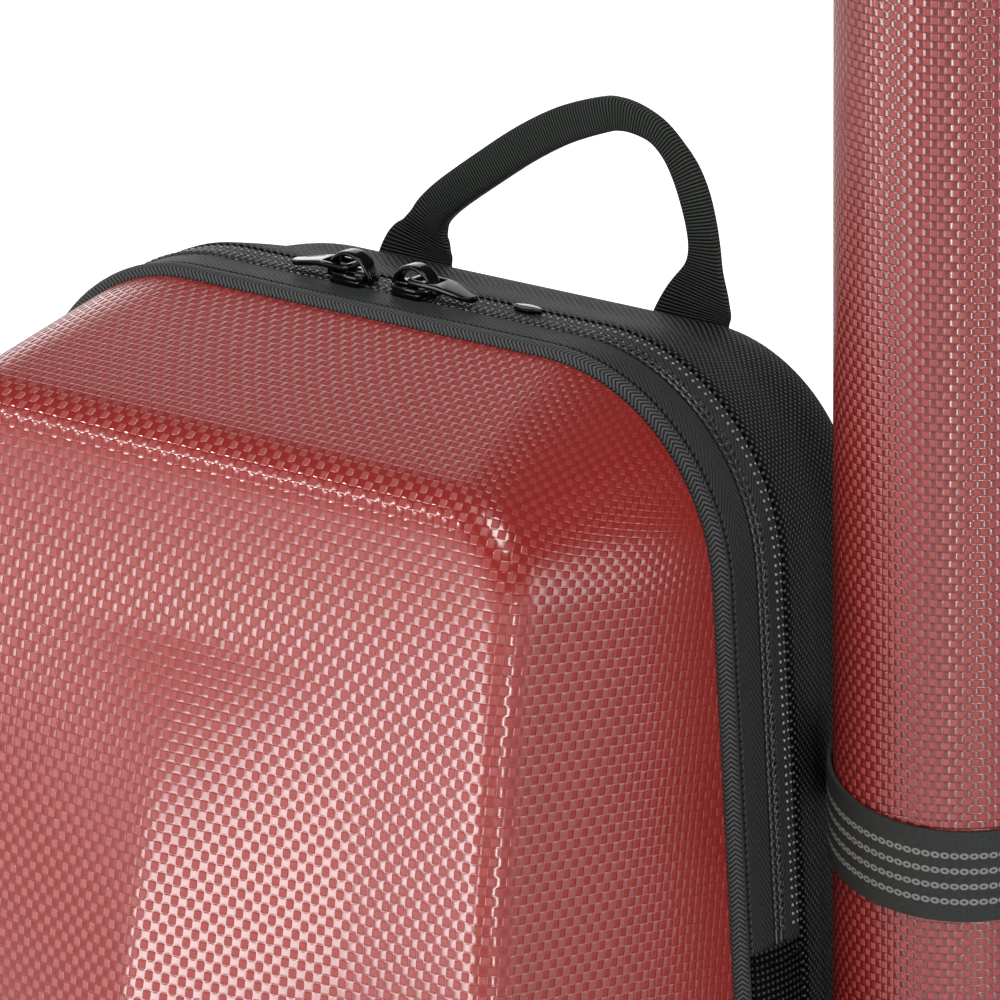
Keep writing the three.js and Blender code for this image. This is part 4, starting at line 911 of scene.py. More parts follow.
def spline(rows, steps):
    """Rows of numbers, smoothed through all of them with a number of steps to each row."""
    before = [2 * a - b for a, b in zip(rows[0], rows[1])]
    after = [2 * a - b for a, b in zip(rows[-1], rows[-2])]
    knots = [before, *rows, after]
    out = []
    for four in zip(knots, knots[1:], knots[2:], knots[3:]):
        for k in range(steps):
            t = k / steps
            out.append([b + 0.5 * t * (c - a + t * (2 * a - 5 * b + 4 * c - d + t * (3 * (b - c) + d - a)))
                        for a, b, c, d in zip(*four)])
    out.append(list(rows[-1]))
    return out


def band_shape(stations, sides=24, power=0.45, ends=True):
    """A flattened oval section carried along stations of centre, way across, way out, width and thickness."""
    rings, uvs, run = [], [], 0.0
    for number, (centre, across, out, width, thick) in enumerate(stations):
        if number:
            run += (centre - stations[number - 1][0]).length
        ring = []
        for i in range(sides + 1):
            angle = 2 * math.pi * i / sides - math.pi / 2
            a, b = (math.copysign(abs(value) ** power, value) for value in (math.cos(angle), math.sin(angle)))
            ring.append(centre + across * (a * width / 2) + out * (b * thick / 2))
        round_ = distances(ring)
        uvs.append([(run, value - round_[-1] / 2) for value in round_])
        rings.append([place(*point) for point in ring])
    shape = lofted(rings, uvs)
    return close_ends(shape) if ends else shape


def neighbours(rows, i):
    """The rows before and after one of them, or itself at an end."""
    return rows[max(i - 1, 0)], rows[min(i + 1, len(rows) - 1)]


# Haul loop: across, height, width and thickness, from its left end to its right
HAUL_LOOP_Y = 86
HAUL_LOOP_FOOT = 632.2
HAUL_LOOP_ROWS = (
    (-50.8, 627.2, 29.0, 2.4), (-50.4, 630.6, 28.6, 2.5), (-48.9, 634.6, 26.0, 2.8), (-46.7, 638.6, 20.5, 3.6),
    (-45.2, 642.2, 15.0, 4.6), (-42.4, 647.2, 12.4, 5.2), (-35.4, 653.7, 11.8, 5.3), (-20.8, 664.3, 11.9, 5.3),
    (-5.4, 674.8, 12.0, 5.3), (9.4, 683.0, 11.9, 5.3), (24.1, 688.6, 11.2, 5.3), (31.0, 690.0, 10.2, 5.2),
    (38.3, 689.3, 9.0, 5.2), (45.5, 686.8, 8.0, 5.0), (51.4, 682.0, 8.2, 4.8), (56.2, 675.8, 9.8, 4.6),
    (59.6, 668.6, 10.6, 4.4), (62.0, 660.6, 10.6, 4.2), (63.2, 653.4, 11.0, 4.0), (63.1, 647.2, 13.4, 3.6),
    (62.0, 640.5, 20.6, 2.9), (60.0, 634.5, 26.4, 2.6), (58.0, 630.0, 28.7, 2.5), (57.2, 625.6, 29.4, 2.4))


def build_haul_loop():
    """The loop at the top: wide webbing sewn into the seam, folded to a narrow band between its ends."""
    rows = spline(HAUL_LOOP_ROWS, 6)
    stations = []
    for i, (x, z, width, thick) in enumerate(rows):
        before, after = neighbours(rows, i)
        run = Vector((after[0] - before[0], 0, after[1] - before[1])).normalized()
        upright = UP if i < len(rows) / 2 else -UP
        run = run.lerp(upright, smooth((HAUL_LOOP_FOOT + 13 - z) / 16)).normalized()
        stations.append((Vector((x, HAUL_LOOP_Y, z)), run.cross(FRONT), FRONT, width, thick))
    loop = piece("haul_loop", band_shape(stations, 28), "webbing", None,
                 ["top_handle", "top_handle_tab_left", "top_handle_tab_right"], crease=60)
    x = (HAUL_LOOP_ROWS[0][0] + HAUL_LOOP_ROWS[-1][0]) / 2
    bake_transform(loop)


# Carry handle: along the side, out from its turning line, width and thickness
CARRY_HANDLE_X = -141.5
CARRY_HANDLE_Y = 60
CARRY_HANDLE_Z = 300
CARRY_HANDLE_ROWS = (
    (-60, -3.6, 22, 2.6), (-60, 0, 22, 2.6), (-59.6, 6, 21.8, 2.9), (-57.5, 15, 20.5, 4.6), (-50.5, 25.5, 19.4, 6.4),
    (-38, 32, 19, 7.4), (-20, 35.2, 19, 7.8), (0, 36, 19, 7.8), (20, 35.2, 19, 7.8), (38, 32, 19, 7.4),
    (50.5, 25.5, 19.4, 6.4), (57.5, 15, 20.5, 4.6), (59.6, 6, 21.8, 2.9), (60, 0, 22, 2.6), (60, -3.6, 22, 2.6))


def build_carry_handle():
    """The handle on the left side: webbing sewn flat at its ends and folded to a grip between them."""
    rows = spline(CARRY_HANDLE_ROWS, 6)
    stations = []
    for i, (along, out, width, thick) in enumerate(rows):
        before, after = neighbours(rows, i)
        run = Vector((before[1] - after[1], 0, after[0] - before[0])).normalized()
        centre = Vector((CARRY_HANDLE_X - out, CARRY_HANDLE_Y, CARRY_HANDLE_Z + along))
        stations.append((centre, run.cross(FRONT), FRONT, width, thick))
    handle = piece("carry_handle", band_shape(stations, 28), "webbing", None,
                   ["side_handle", "side_handle_tab_low", "side_handle_tab_high"], crease=60)
    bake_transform(handle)


# Elastic loops that hold the bow tube
ELASTIC_WIDTH = 28
ELASTIC_SHEET = 1.6
ELASTIC_TILT = math.radians(14)
ELASTIC_LOW = math.radians(-50)
ELASTIC_HEIGHTS = {"upper": 508, "lower": 150}
ELASTIC_JOIN = 4.2
ELASTIC_TAB_WIDTH = 8


def elastic_drop(angle):
    return TUBE_RADIUS * math.tan(ELASTIC_TILT) * math.cos(angle - ELASTIC_LOW)


def build_elastic_loop(level):
    """A knitted elastic loop round the tube, its two ends sewn together to the side of the case."""
    height = ELASTIC_HEIGHTS[level]
    middle = TUBE_RADIUS + GAP + ELASTIC_SHEET / 2
    stations = []
    for i in range(97):
        angle = 2 * math.pi * i / 96 - math.pi
        out = Vector((math.cos(angle), math.sin(angle), 0))
        centre = Vector((TUBE_X, TUBE_Y, height - elastic_drop(angle))) + out * middle
        stations.append((centre, UP, out, ELASTIC_WIDTH, ELASTIC_SHEET))
    band = band_shape(stations, 32, 0.2, ends=False)
    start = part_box(f"tube_strap_{level}")[0].x / MM
    finish = TUBE_X - middle
    z = height - elastic_drop(math.pi)
    stations = []
    for i in range(9):
        share = i / 8
        thick = blend_value(ELASTIC_JOIN, ELASTIC_TAB_WIDTH, share * share)
        centre = Vector((blend_value(start - 0.6, finish + 0.4, share), TUBE_Y, z))
        stations.append((centre, UP, BACK, ELASTIC_WIDTH - 0.6, thick))
    tab = band_shape(stations, 32, 0.2)
    piece(f"elastic_loop_{level}", joined_shapes([band, tab]), "elastic", "case_base", [f"tube_strap_{level}"],
          crease=50)


# Fabric hinge: offsets of its inside, edge and face, how far its face swells, and where that starts and ends; and
# the curved seam at its top: offset, first and last distance behind the rim plane, drop, sag and thickness
HINGE_INSIDE = 1.4
HINGE_EDGE = 3.0
HINGE_FACE = 3.3
HINGE_SWELL = 0.9
HINGE_SWELL_RUN = (7.4, 29.1)
TOP_SEAM_OFFSET = 3.6
TOP_SEAM_RUN = (6.2, 30.2)
TOP_SEAM_DROP = 2.2
TOP_SEAM_SAG = 2.6
TOP_SEAM_THICKNESS = 1.3


def build_fabric_hinge():
    """The woven strip that takes the zip's place down the right side."""
    front, back = LID_TAPE[0], BASE_TAPE[1]
    low, high = HINGE_SWELL_RUN
    section = [(HINGE_INSIDE, front), (HINGE_EDGE, front)]
    section += [(HINGE_FACE + HINGE_SWELL * math.sin(math.pi * i / 12), blend_value(low, high, i / 12))
                for i in range(13)]
    section += [(HINGE_EDGE, back), (HINGE_INSIDE, back)]
    section += [(HINGE_INSIDE, blend_value(back, front, i / 8)) for i in range(1, 9)]
    strip = close_ends(rim_band(section, ZIP_END_INDEX, HINGE_END_INDEX))
    x, z, _ = offset_outline(TOP_SEAM_OFFSET)[ZIP_END_INDEX]
    seam = []
    for i in range(17):
        bow = math.sin(math.pi * i / 16)
        centre = Vector((x + bow, blend_value(*TOP_SEAM_RUN, i / 16), z - TOP_SEAM_DROP - TOP_SEAM_SAG * bow))
        seam.append((centre, FRONT, RIGHT, TOP_SEAM_THICKNESS, TOP_SEAM_THICKNESS))
    shape = joined_shapes([strip, band_shape(seam, 10, 1.0)])
    hinge = piece("fabric_hinge", shape, "hinge", None, ["hinge_strip_lid", "hinge_strip_base"])
    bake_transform(hinge)


# Back: padded panels, shoulder straps and their webbing
PANEL_BACK = 87.0
PANEL_SPINE_TOP = 75
PANEL_SPINE_BOTTOM = 90
PAD_X = 62
PAD_WIDTH = 74
PAD_HEIGHT = 360
PAD_GROUND = 152
PAD_THICKNESS = 13
PAD_SWELL = 4.5
PAD_SIDE_SWELL = 3
PAD_CHANNELS = (-120, -60, 0, 60, 120)
CHANNEL_WIDTH = 5.0
CHANNEL_DEPTH = 4.2
STRAP_X = 50
STRAP_TOP = 600
STRAP_DROP = 385
STRAP_BOW = 41
STRAP_WIDTH = 62
STRAP_THICKNESS = 10
STRAP_SIDE_SWELL = 3
STRAP_SWELL = 2.6
STRAP_NARROWING = 16
STRAP_NARROW_START = 0.8
STRAP_THINNING = 0.35
STRAP_THIN_START = 0.86
STRAP_ROUTE = ((0.002, 0), (0.022, 0.07), (0.14, 0.14), (0.4, 0.23), (0.68, 0.35), (0.93, 0.52), (1, 0.7),
               (0.88, 0.88), (0.7, 1))
ADJUSTER_WIDTH = 38
ADJUSTER_HEIGHT = 26
ADJUSTER_THICKNESS = 5
ADJUSTER_CORNER = 3.5
ADJUSTER_SLOT_Z = 5.25
ADJUSTER_SLOT_LENGTH = 28
ADJUSTER_SLOT_WIDTH = 5.2
WEBBING_WIDTH = 25
WEBBING_SHEET = 1.8
ANCHOR_X = 92
ANCHOR_Z = 102
PATCH_WIDTH = 44
PATCH_THICKNESS = 2.5
PATCH_Z = 73.45


def route_stations(rows, side, width, thick):
    """Stations of a band whose width lies across the case's back, from rows of x, y and z."""
    points = [Vector((side * x, y, z)) for x, y, z in rows]
    stations = []
    for i, point in enumerate(points):
        before, after = neighbours(points, i)
        run = (after - before).normalized()
        across = (RIGHT - run * run.x).normalized()
        stations.append((point, across, run.cross(across), width(i), thick(i)))
    return stations


# Zip sliders and other hard fittings


def slab(outlines, low, high, rim=0.0, segments=2, angle=50.0):
    """A plate from low to high with rounded edges. Outlines after the first are holes in it."""
    shape = bmesh.new()
    for outline in outlines:
        corners = [shape.verts.new((x, y, low)) for x, y in outline]
        for pair in zip(corners, corners[1:] + corners[:1]):
            shape.edges.new(pair)
    bmesh.ops.triangle_fill(shape, edges=shape.edges, use_beauty=True)
    bmesh.ops.dissolve_limit(shape, angle_limit=0.01, verts=shape.verts, edges=shape.edges)
    made = bmesh.ops.extrude_face_region(shape, geom=shape.faces[:], use_keep_orig=True)["geom"]
    top = [item for item in made if isinstance(item, bmesh.types.BMVert)]
    bmesh.ops.translate(shape, verts=top, vec=(0, 0, high - low))
    bmesh.ops.recalc_face_normals(shape, faces=shape.faces)
    if rim:
        sharp = [edge for edge in shape.edges if edge.calc_face_angle(0) > math.radians(angle)]
        bmesh.ops.bevel(shape, geom=sharp, offset=rim, segments=segments, profile=0.5, affect="EDGES",
                        material=-1)
    bmesh.ops.triangulate(shape, faces=[face for face in shape.faces if len(face.verts) > 4])
    layer = shape.loops.layers.uv.new("pattern")
    for face in shape.faces:
        for corner in face.loops:
            corner[layer].uv = corner.vert.co.xy
    return shape


def rounded_outline(width, height, radius, steps=5):
    """A rectangle with round corners, about its middle."""
    points = []
    for number in range(4):
        across = width / 2 - radius if number in (0, 3) else radius - width / 2
        up = height / 2 - radius if number < 2 else radius - height / 2
        for i in range(steps + 1):
            angle = math.pi / 2 * (number + i / steps)
            points.append((across + radius * math.cos(angle), up + radius * math.sin(angle)))
    return points


def set_down(shape, origin, x_way=RIGHT, y_way=UP):
    """Turns a shape from its own millimetres to its place on the case."""
    turn = Matrix((x_way, y_way, x_way.cross(y_way))).transposed().to_4x4()
    whole = Matrix.Translation(place(*origin)) @ turn @ Matrix.Scale(MM, 4)
    bmesh.ops.transform(shape, matrix=whole, verts=shape.verts)
    return shape


# Sliders and pulls: plans and, above the slider's ground, the levels of plate, saddle and flanges
SLIDER_X = {"left": -20.5, "right": 4.7}
SLIDER_GROUND = CASE_HEIGHT + 4.3
SLIDER_PLAN = ((7, -1.8), (7, 1.8), (5.6, 3.6), (3.4, 5), (-5.4, 5), (-7, 3.9), (-7, -3.9), (-5.4, -5), (3.4, -5),
               (5.6, -3.6))
PLATE_LEVELS = (0.3, 2.5)
SADDLE_LEVELS = (0.5, 3.1)
SADDLE_WIDTH = 4.4
FLANGE_LEVELS = (-1.0, 1.0)
FLANGE_LENGTH = 11.4
FLANGE_WIDTH = 1.3
FLANGE_Y = 4.3
FLANGE_BACK = 0.8
CROWN_RADIUS = 8.6
CROWN_BAND = 1.7
CROWN_WIDTH = 5.4
CROWN_NARROWING = 0.9
CROWN_FOOT = 0.3
PULL_HEIGHT = 4.0
PULL_THICKNESS = 1.8
PULL_PLAN = ((-0.9, 3.4), (0.2, 4.5), (10.4, 4.5), (14, 4.1), (20.4, 3.0), (22.4, 2.0), (23, 0.6), (23, -0.6),
             (22.4, -2.0), (20.4, -3.0), (14, -4.1), (10.4, -4.5), (0.2, -4.5), (-0.9, -3.4))
PULL_EYE = ((0.9, 2.6), (1.3, 3.0), (9.2, 3.0), (9.6, 2.6), (9.6, -2.6), (9.2, -3.0), (1.3, -3.0), (0.9, -2.6))
PULL_DROP = 2.3
PULL_BEND = 8.5
PULL_LENGTH = 23


def build_slider(side):
    """One die-cast slider: a shield-shaped plate with flanges, and the crown that its pull hangs on."""
    way = -1 if side == "left" else 1
    ahead, across = RIGHT * way, BACK * way
    origin = (SLIDER_X[side], ZIP_PLANE, SLIDER_GROUND)
    saddle = rounded_outline(2 * CROWN_RADIUS, SADDLE_WIDTH, 1.6)
    plates = [slab([SLIDER_PLAN], *PLATE_LEVELS, 0.45, 3), slab([saddle], *SADDLE_LEVELS, 0.6, 3)]
    for y in (FLANGE_Y, -FLANGE_Y):
        outline = [(x - FLANGE_BACK, y + v) for x, v in rounded_outline(FLANGE_LENGTH, FLANGE_WIDTH, 0.6)]
        plates.append(slab([outline], *FLANGE_LEVELS, 0.25, 2))
    plates = [set_down(plate, origin, ahead, across) for plate in plates]
    stations = []
    middle = CROWN_RADIUS - CROWN_BAND / 2
    for i in range(33):
        angle = math.pi * i / 32
        out = ahead * math.cos(angle) + UP * math.sin(angle)
        width = CROWN_WIDTH - CROWN_NARROWING * math.cos(angle) ** 4
        stations.append((Vector(origin) + UP * CROWN_FOOT + out * middle, across, out, width, CROWN_BAND))
    crown = band_shape(stations, 24, 0.5)
    piece(f"zip_slider_{side}_cast", joined_shapes([*plates, crown]), "enamel", f"slider_{side}",
          [f"zip_slider_{side}"], crease=35)


def build_pull(side):
    """The slider's pull: an eye round the crown and a narrowing tongue that lies down on the zip."""
    way = -1 if side == "left" else 1
    shape = slab([PULL_PLAN, PULL_EYE], -PULL_THICKNESS / 2, PULL_THICKNESS / 2, 0.42, 3)
    for vertex in shape.verts:
        share = clamp((vertex.co.x - PULL_BEND) / (PULL_LENGTH - PULL_BEND))
        vertex.co.z += PULL_HEIGHT - PULL_DROP * smooth(share)
    set_down(shape, (SLIDER_X[side], ZIP_PLANE, SLIDER_GROUND), RIGHT * way, BACK * way)
    piece(f"zip_pull_{side}_cast", shape, "enamel", f"pull_{side}", [f"zip_pull_{side}"], crease=35)


ZIP_TAB_X = 42
ZIP_TAB_Y = 27
ZIP_TAB_GROUND = CASE_HEIGHT + 3.2
ZIP_TAB_HEIGHT = 1.6
ZIP_TAB_HALF_LENGTH = 5.5
ZIP_TAB_HALF_WIDTH = 2.5
ZIP_TAB_POINT = 0.4


def build_zip_tab():
    """The small lens-shaped tab beside the zip, domed on top."""
    angles = [math.tau * i / 24 for i in range(24)]
    outline = [(ZIP_TAB_HALF_LENGTH * math.cos(a),
                ZIP_TAB_HALF_WIDTH * math.sin(a) * abs(math.sin(a)) ** ZIP_TAB_POINT) for a in angles]
    shape = slab([outline], 0, ZIP_TAB_HEIGHT, 0.5, 3, 30)
    set_down(shape, (ZIP_TAB_X, ZIP_TAB_Y, ZIP_TAB_GROUND), RIGHT, BACK)
    piece("zip_end_tab", shape, "enamel", "case_base", ["zip_tab"], slot="plastic_black")


def build_adjusters():
    """Ladder-lock adjusters of the shoulder straps."""
    half = ADJUSTER_THICKNESS / 2
    for name in ("left", "right"):
        outlines = [rounded_outline(ADJUSTER_WIDTH, ADJUSTER_HEIGHT, ADJUSTER_CORNER)]
        slot = rounded_outline(ADJUSTER_SLOT_LENGTH, ADJUSTER_SLOT_WIDTH, 1.0, 3)
        outlines += [[(x, y + middle) for x, y in slot] for middle in (ADJUSTER_SLOT_Z, -ADJUSTER_SLOT_Z)]
        low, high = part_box(f"strap_adjuster_{name}")
        middle = (low + high) / 2 / MM
        shape = set_down(slab(outlines, -half, half, 0.7, 3), (middle.x, middle.y - RIM_PLANE, middle.z))
        piece(f"ladder_lock_{name}", shape, "plastic", "case_base", [f"strap_adjuster_{name}"])


# Below the top: height and inset of the base guard's edges and grooves, and height and radius of a shell foot's
GUARD_CORNER = 6
GUARD_HALF_LENGTH = 60
GUARD_HALF_DEPTH = 26
GUARD_CLEARANCE = 0.4
GUARD_TOP_INSET = 1.2
GUARD_LEVELS = ((12.0, 0.2), (8.4, 0), (8.0, 0.9), (7.0, 0.9), (6.6, 0), (2.6, 0), (0.8, 0.7), (0.0, 2.4))
FOOT_TOP_RADIUS = 7.0
FOOT_LEVELS = ((5.0, 7.4), (3.2, 7.8), (1.4, 8.0), (0.5, 7.7), (0.1, 6.8), (0.0, 5.6), (0.0, 4.4), (0.7, 3.6),
               (0.8, 1.5))


def build_rubber_feet():
    """Rubber guard under the base and the two feet under the shell, with moulded edges and grooves."""
    low, high = (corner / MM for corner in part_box("base_guard"))
    middle = (low.y + high.y) / 2
    outline = rounded_outline(high.x - low.x, high.y - low.y, GUARD_CORNER)
    rings = []
    for z, inset in ((high.z, GUARD_TOP_INSET), *GUARD_LEVELS):
        ring = []
        for x, y in outline:
            fabric = gusset_offset(clamp(middle + y - RIM_PLANE, GUSSET_START, BACK_DEPTH))
            ring.append(place(x * (1 - inset / GUARD_HALF_LENGTH),
                              middle - RIM_PLANE + y * (1 - inset / GUARD_HALF_DEPTH),
                              min(z, RIM_GROUND - fabric - GUARD_CLEARANCE)))
        rings.append(ring + ring[:1])
    piece("rubber_base_guard", close_ends(lofted(rings)), "rubber", "case_base", ["base_guard"], crease=35)
    for name in ("left", "right"):
        low, high = (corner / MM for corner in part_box(f"shell_foot_{name}"))
        centre = (low + high) / 2
        rings = [level_ring(centre.x, centre.y - RIM_PLANE, z, radius, 40)
                 for z, radius in ((high.z, FOOT_TOP_RADIUS), *FOOT_LEVELS)]
        piece(f"rubber_foot_{name}", close_ends(lofted(rings)), "rubber", "lid", [f"shell_foot_{name}"],
              crease=35)


# Padded back, straps and lining


CLOTH_PRESSURE = 4.0
CLOTH_FRAMES = 20


def soften(made, cap, voxel):
    """Swells a closed shape as stuffed fabric does, by Blender's cloth. No point moves further than a cap."""
    remesh = made.modifiers.new("remesh", "REMESH")
    remesh.mode, remesh.voxel_size, remesh.adaptivity = "VOXEL", voxel, 0.0
    apply_modifiers(made)
    start = [vertex.co.copy() for vertex in made.data.vertices]
    cloth = made.modifiers.new("cloth", "CLOTH")
    cloth.settings.use_pressure = True
    cloth.settings.uniform_pressure_force = CLOTH_PRESSURE
    cloth.settings.effector_weights.gravity = 0.0
    cloth.point_cache.frame_start, cloth.point_cache.frame_end = 1, CLOTH_FRAMES
    scene = bpy.context.scene
    for number in range(1, CLOTH_FRAMES + 1):
        scene.frame_set(number)
    apply_modifiers(made)
    scene.frame_set(1)
    for vertex, before in zip(made.data.vertices, start):
        move = vertex.co - before
        if move.length > cap:
            move *= cap / move.length
        vertex.co = before + move


def apply_modifiers(made):
    """Bakes an object's modifiers into its mesh."""
    bpy.context.view_layer.update()
    final = bpy.data.meshes.new_from_object(made.evaluated_get(bpy.context.evaluated_depsgraph_get()))
    old = made.data
    made.modifiers.clear()
    made.data = final
    bpy.data.meshes.remove(old)


def flat_pattern(made):
    """Maps the pattern straight onto a finished piece from behind, in millimetres."""
    data = made.data
    layer = data.uv_layers.get("pattern") or data.uv_layers.new(name="pattern")
    for loop in data.loops:
        layer.data[loop.index].uv = data.vertices[loop.vertex_index].co.xz / MM


def padded_piece(name, shape, node, cap, voxel, creases=None):
    """A stuffed piece: swollen as cloth, creased where it is sewn, and subdivided once."""
    made = piece(name, shape, "mesh")
    soften(made, cap, voxel)
    if creases is not None:
        for vertex in made.data.vertices:
            vertex.co += creases(vertex.co)
    smoother = made.modifiers.new("smoother", "SUBSURF")
    smoother.levels = smoother.render_levels = 1
    apply_modifiers(made)
    made.data.shade_smooth()
    flat_pattern(made)
    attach(made, "case_base")
    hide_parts(node)


def seam_dip(distance):
    """How deep a sewn channel pulls the cover in at a distance from its stitches."""
    return CHANNEL_DEPTH * math.exp(-(distance / CHANNEL_WIDTH) ** 2)


def rim_solid(levels, steps=10):
    """A closed solid from ring levels of (offset, y), filled in to the middle line at its front and back."""
    spine_top, spine_bottom = CASE_HEIGHT - PANEL_SPINE_TOP, RIM_GROUND + PANEL_SPINE_BOTTOM

    def filled(offset, y):
        outline = offset_outline(offset)
        for share in [i / steps for i in range(steps, 0, -1)]:
            row = [(x * (1 - share), blend_value(z, clamp(z, spine_bottom, spine_top), share))
                   for x, z, _ in outline]
            yield [place(x, y, z) for x, z in row], row

    layers = list(filled(*levels[0]))
    for offset, y in levels:
        row = [(x, z) for x, z, _ in offset_outline(offset)]
        layers.append(([place(x, y, z) for x, z in row], row))
    layers += list(filled(*levels[-1]))[::-1]
    return lofted([ring for ring, _ in layers], [row for _, row in layers])


# Back panel: its levels' offset and distance behind the rim plane, and its corded seam
BACK_PANEL_LEVELS = ((-16.6, 84.0), (-16.4, 86.2), (-17.2, 87.0), (-30, 87.2))
BACK_SEAM_OFFSET = -17.3
BACK_SEAM_Y = 88.4
BACK_SEAM_RADIUS = 1.9


def build_back():
    """The stiff back panel with its nylon cover, and the corded seam round it."""
    piece("back_nylon", rim_solid(BACK_PANEL_LEVELS), "nylon", "case_base", ["back_panel"], crease=50)
    section, across = round_section(BACK_SEAM_OFFSET, BACK_SEAM_Y, BACK_SEAM_RADIUS, BACK_SEAM_RADIUS, 16)
    piece("back_corded_seam", rim_band(section, across=across), "braid", "case_base", ["back_binding"])


def build_back_pads():
    """Two padded panels with sewn channels, covered in air mesh."""
    solid = PAD_THICKNESS - PAD_SWELL
    middle = PAD_GROUND + PAD_HEIGHT / 2

    def creases(co):
        z = co.z / MM - middle
        share = clamp((co.y / MM - RIM_PLANE - PANEL_BACK) / PAD_THICKNESS)
        dip = sum(seam_dip(z - channel) for channel in PAD_CHANNELS)
        return Vector((0, -dip * share, 0)) * MM

    for name, x in (("left", -PAD_X), ("right", PAD_X)):
        outline = rounded_outline(PAD_WIDTH - 2 * PAD_SIDE_SWELL, PAD_HEIGHT - 2 * PAD_SIDE_SWELL, 15, 8)
        shape = slab([outline], 0.2, solid, 3.2, 3)
        set_down(shape, (x, PANEL_BACK + GAP + solid, middle))
        padded_piece(f"back_pad_{name}_cover", shape, f"back_pad_{name}", 0.0032, 0.005, creases)


def build_shoulder_straps():
    """Curved padded straps, the webbing from each one's adjuster to its anchor, and the anchors' patches."""
    start = PANEL_BACK + GAP + STRAP_THICKNESS / 2
    route = [(STRAP_X, start + back * STRAP_BOW, STRAP_TOP - down * STRAP_DROP) for back, down in STRAP_ROUTE]
    rows = spline(route, 8)
    last = len(rows) - 1
    end = Vector(route[-1])
    anchor_y = PANEL_BACK + 2.0 + WEBBING_SHEET

    def width(i):
        end_share = smooth((i / last - STRAP_NARROW_START) / (1 - STRAP_NARROW_START))
        return STRAP_WIDTH - STRAP_SIDE_SWELL - STRAP_NARROWING * end_share

    def thick(i):
        end_share = smooth((i / last - STRAP_THIN_START) / (1 - STRAP_THIN_START))
        return (STRAP_THICKNESS - STRAP_SWELL) * (1 - STRAP_THINNING * end_share)

    for side, name in ((-1, "left"), (1, "right")):
        shape = band_shape(route_stations(rows, side, width, thick), 28, 0.35)
        padded_piece(f"shoulder_strap_{name}_pad", shape, f"shoulder_strap_{name}", 0.0016, 0.004)
        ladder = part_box(f"strap_adjuster_{name}")[0].z / MM
        hang = [(end.x, end.y, ladder + 9), (end.x, end.y, ladder - 2), (end.x + 6, end.y - 5, ladder - 16),
                (blend_value(end.x, ANCHOR_X, 0.6), blend_value(end.y, anchor_y, 0.62),
                 blend_value(ladder, ANCHOR_Z, 0.55)),
                (ANCHOR_X - 3, anchor_y + 2.0, ANCHOR_Z + 14), (ANCHOR_X, anchor_y, ANCHOR_Z),
                (ANCHOR_X, anchor_y, ANCHOR_Z - 14)]
        stations = route_stations(spline(hang, 8), side, lambda i: WEBBING_WIDTH, lambda i: WEBBING_SHEET)
        piece(f"strap_webbing_{name}_band", band_shape(stations, 24, 0.3), "webbing", "case_base",
              [f"strap_webbing_{name}"], crease=60)
        patch = slab([rounded_outline(PATCH_WIDTH, PATCH_WIDTH, 8.8)], 0, PATCH_THICKNESS, 0.9, 3)
        set_down(patch, (side * ANCHOR_X, PANEL_BACK + GAP + PATCH_THICKNESS, PATCH_Z))
        piece(f"strap_anchor_{name}_patch", patch, "nylon", "case_base", [f"strap_anchor_{name}"])


# Inside


def node_shape(node):
    """A merged copy of a CAD node's mesh."""
    shape = bmesh.new()
    shape.from_mesh(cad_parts[node].data)
    bmesh.ops.remove_doubles(shape, verts=shape.verts, dist=1e-5)
    return shape


# Size in metres of the cells in which foam is remeshed, and the thin pocket lid
FOAM_VOXEL = 0.0028
POCKET_LID_VOXEL = 0.0011

# Strap over the violin's neck
NECK_STRAP_WIDTH = 25
NECK_STRAP_THICKNESS = 2.0
NECK_STRAP_BOW = 0.8


def build_foam():
    """Plush-covered foam round the violin and bare foam for the bows: the CAD blocks, softly rounded."""
    for node in ("inlay_lower_left", "inlay_lower_right", "inlay_upper_left", "inlay_upper_right", "neck_rest",
                 "accessory_lid", "inlay_floor", "bow_holder"):
        finish = "foam" if node == "bow_holder" else "plush"
        made = piece(f"{node}_{finish}", node_shape(node), finish)
        voxel = made.modifiers.new("remesh", "REMESH")
        voxel.mode = "VOXEL"
        voxel.voxel_size = POCKET_LID_VOXEL if node == "accessory_lid" else FOAM_VOXEL
        rounder = made.modifiers.new("rounder", "SMOOTH")
        rounder.factor, rounder.iterations = 0.5, 6
        apply_modifiers(made)
        made.data.shade_smooth()
        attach(made, {"accessory_lid": "pocket_lid", "bow_holder": "bow_tube"}.get(node, "case_base"))
        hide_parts(node)


def build_neck_strap():
    """The strap that closes over the violin's neck."""
    low, high = (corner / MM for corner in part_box("neck_strap"))
    middle = (low + high) / 2
    stations = []
    for i in range(25):
        share = i / 24
        centre = Vector((blend_value(low.x, high.x, share),
                         middle.y - RIM_PLANE - NECK_STRAP_BOW * math.sin(math.pi * share), middle.z))
        width = NECK_STRAP_WIDTH - 40 * max(0.0, abs(share - 0.5) * 2 - 0.9)
        stations.append((centre, UP, FRONT, width, NECK_STRAP_THICKNESS))
    piece("neck_strap_band", band_shape(stations, 24, 0.3), "webbing", "neck_tie", ["neck_strap"], crease=60)


def turned_shape(profile, sides=96):
    """A solid of revolution on the bow tube's axis, from a closed profile of radius and height."""
    rings, uvs = [], []
    across = distances(profile)
    for i in range(sides + 1):
        angle = math.tau * i / sides
        rings.append([place(TUBE_X + r * math.cos(angle), TUBE_Y + r * math.sin(angle), z) for r, z in profile])
        uvs.append([(TUBE_RADIUS * angle, value) for value in across])
    return lofted(rings, uvs)


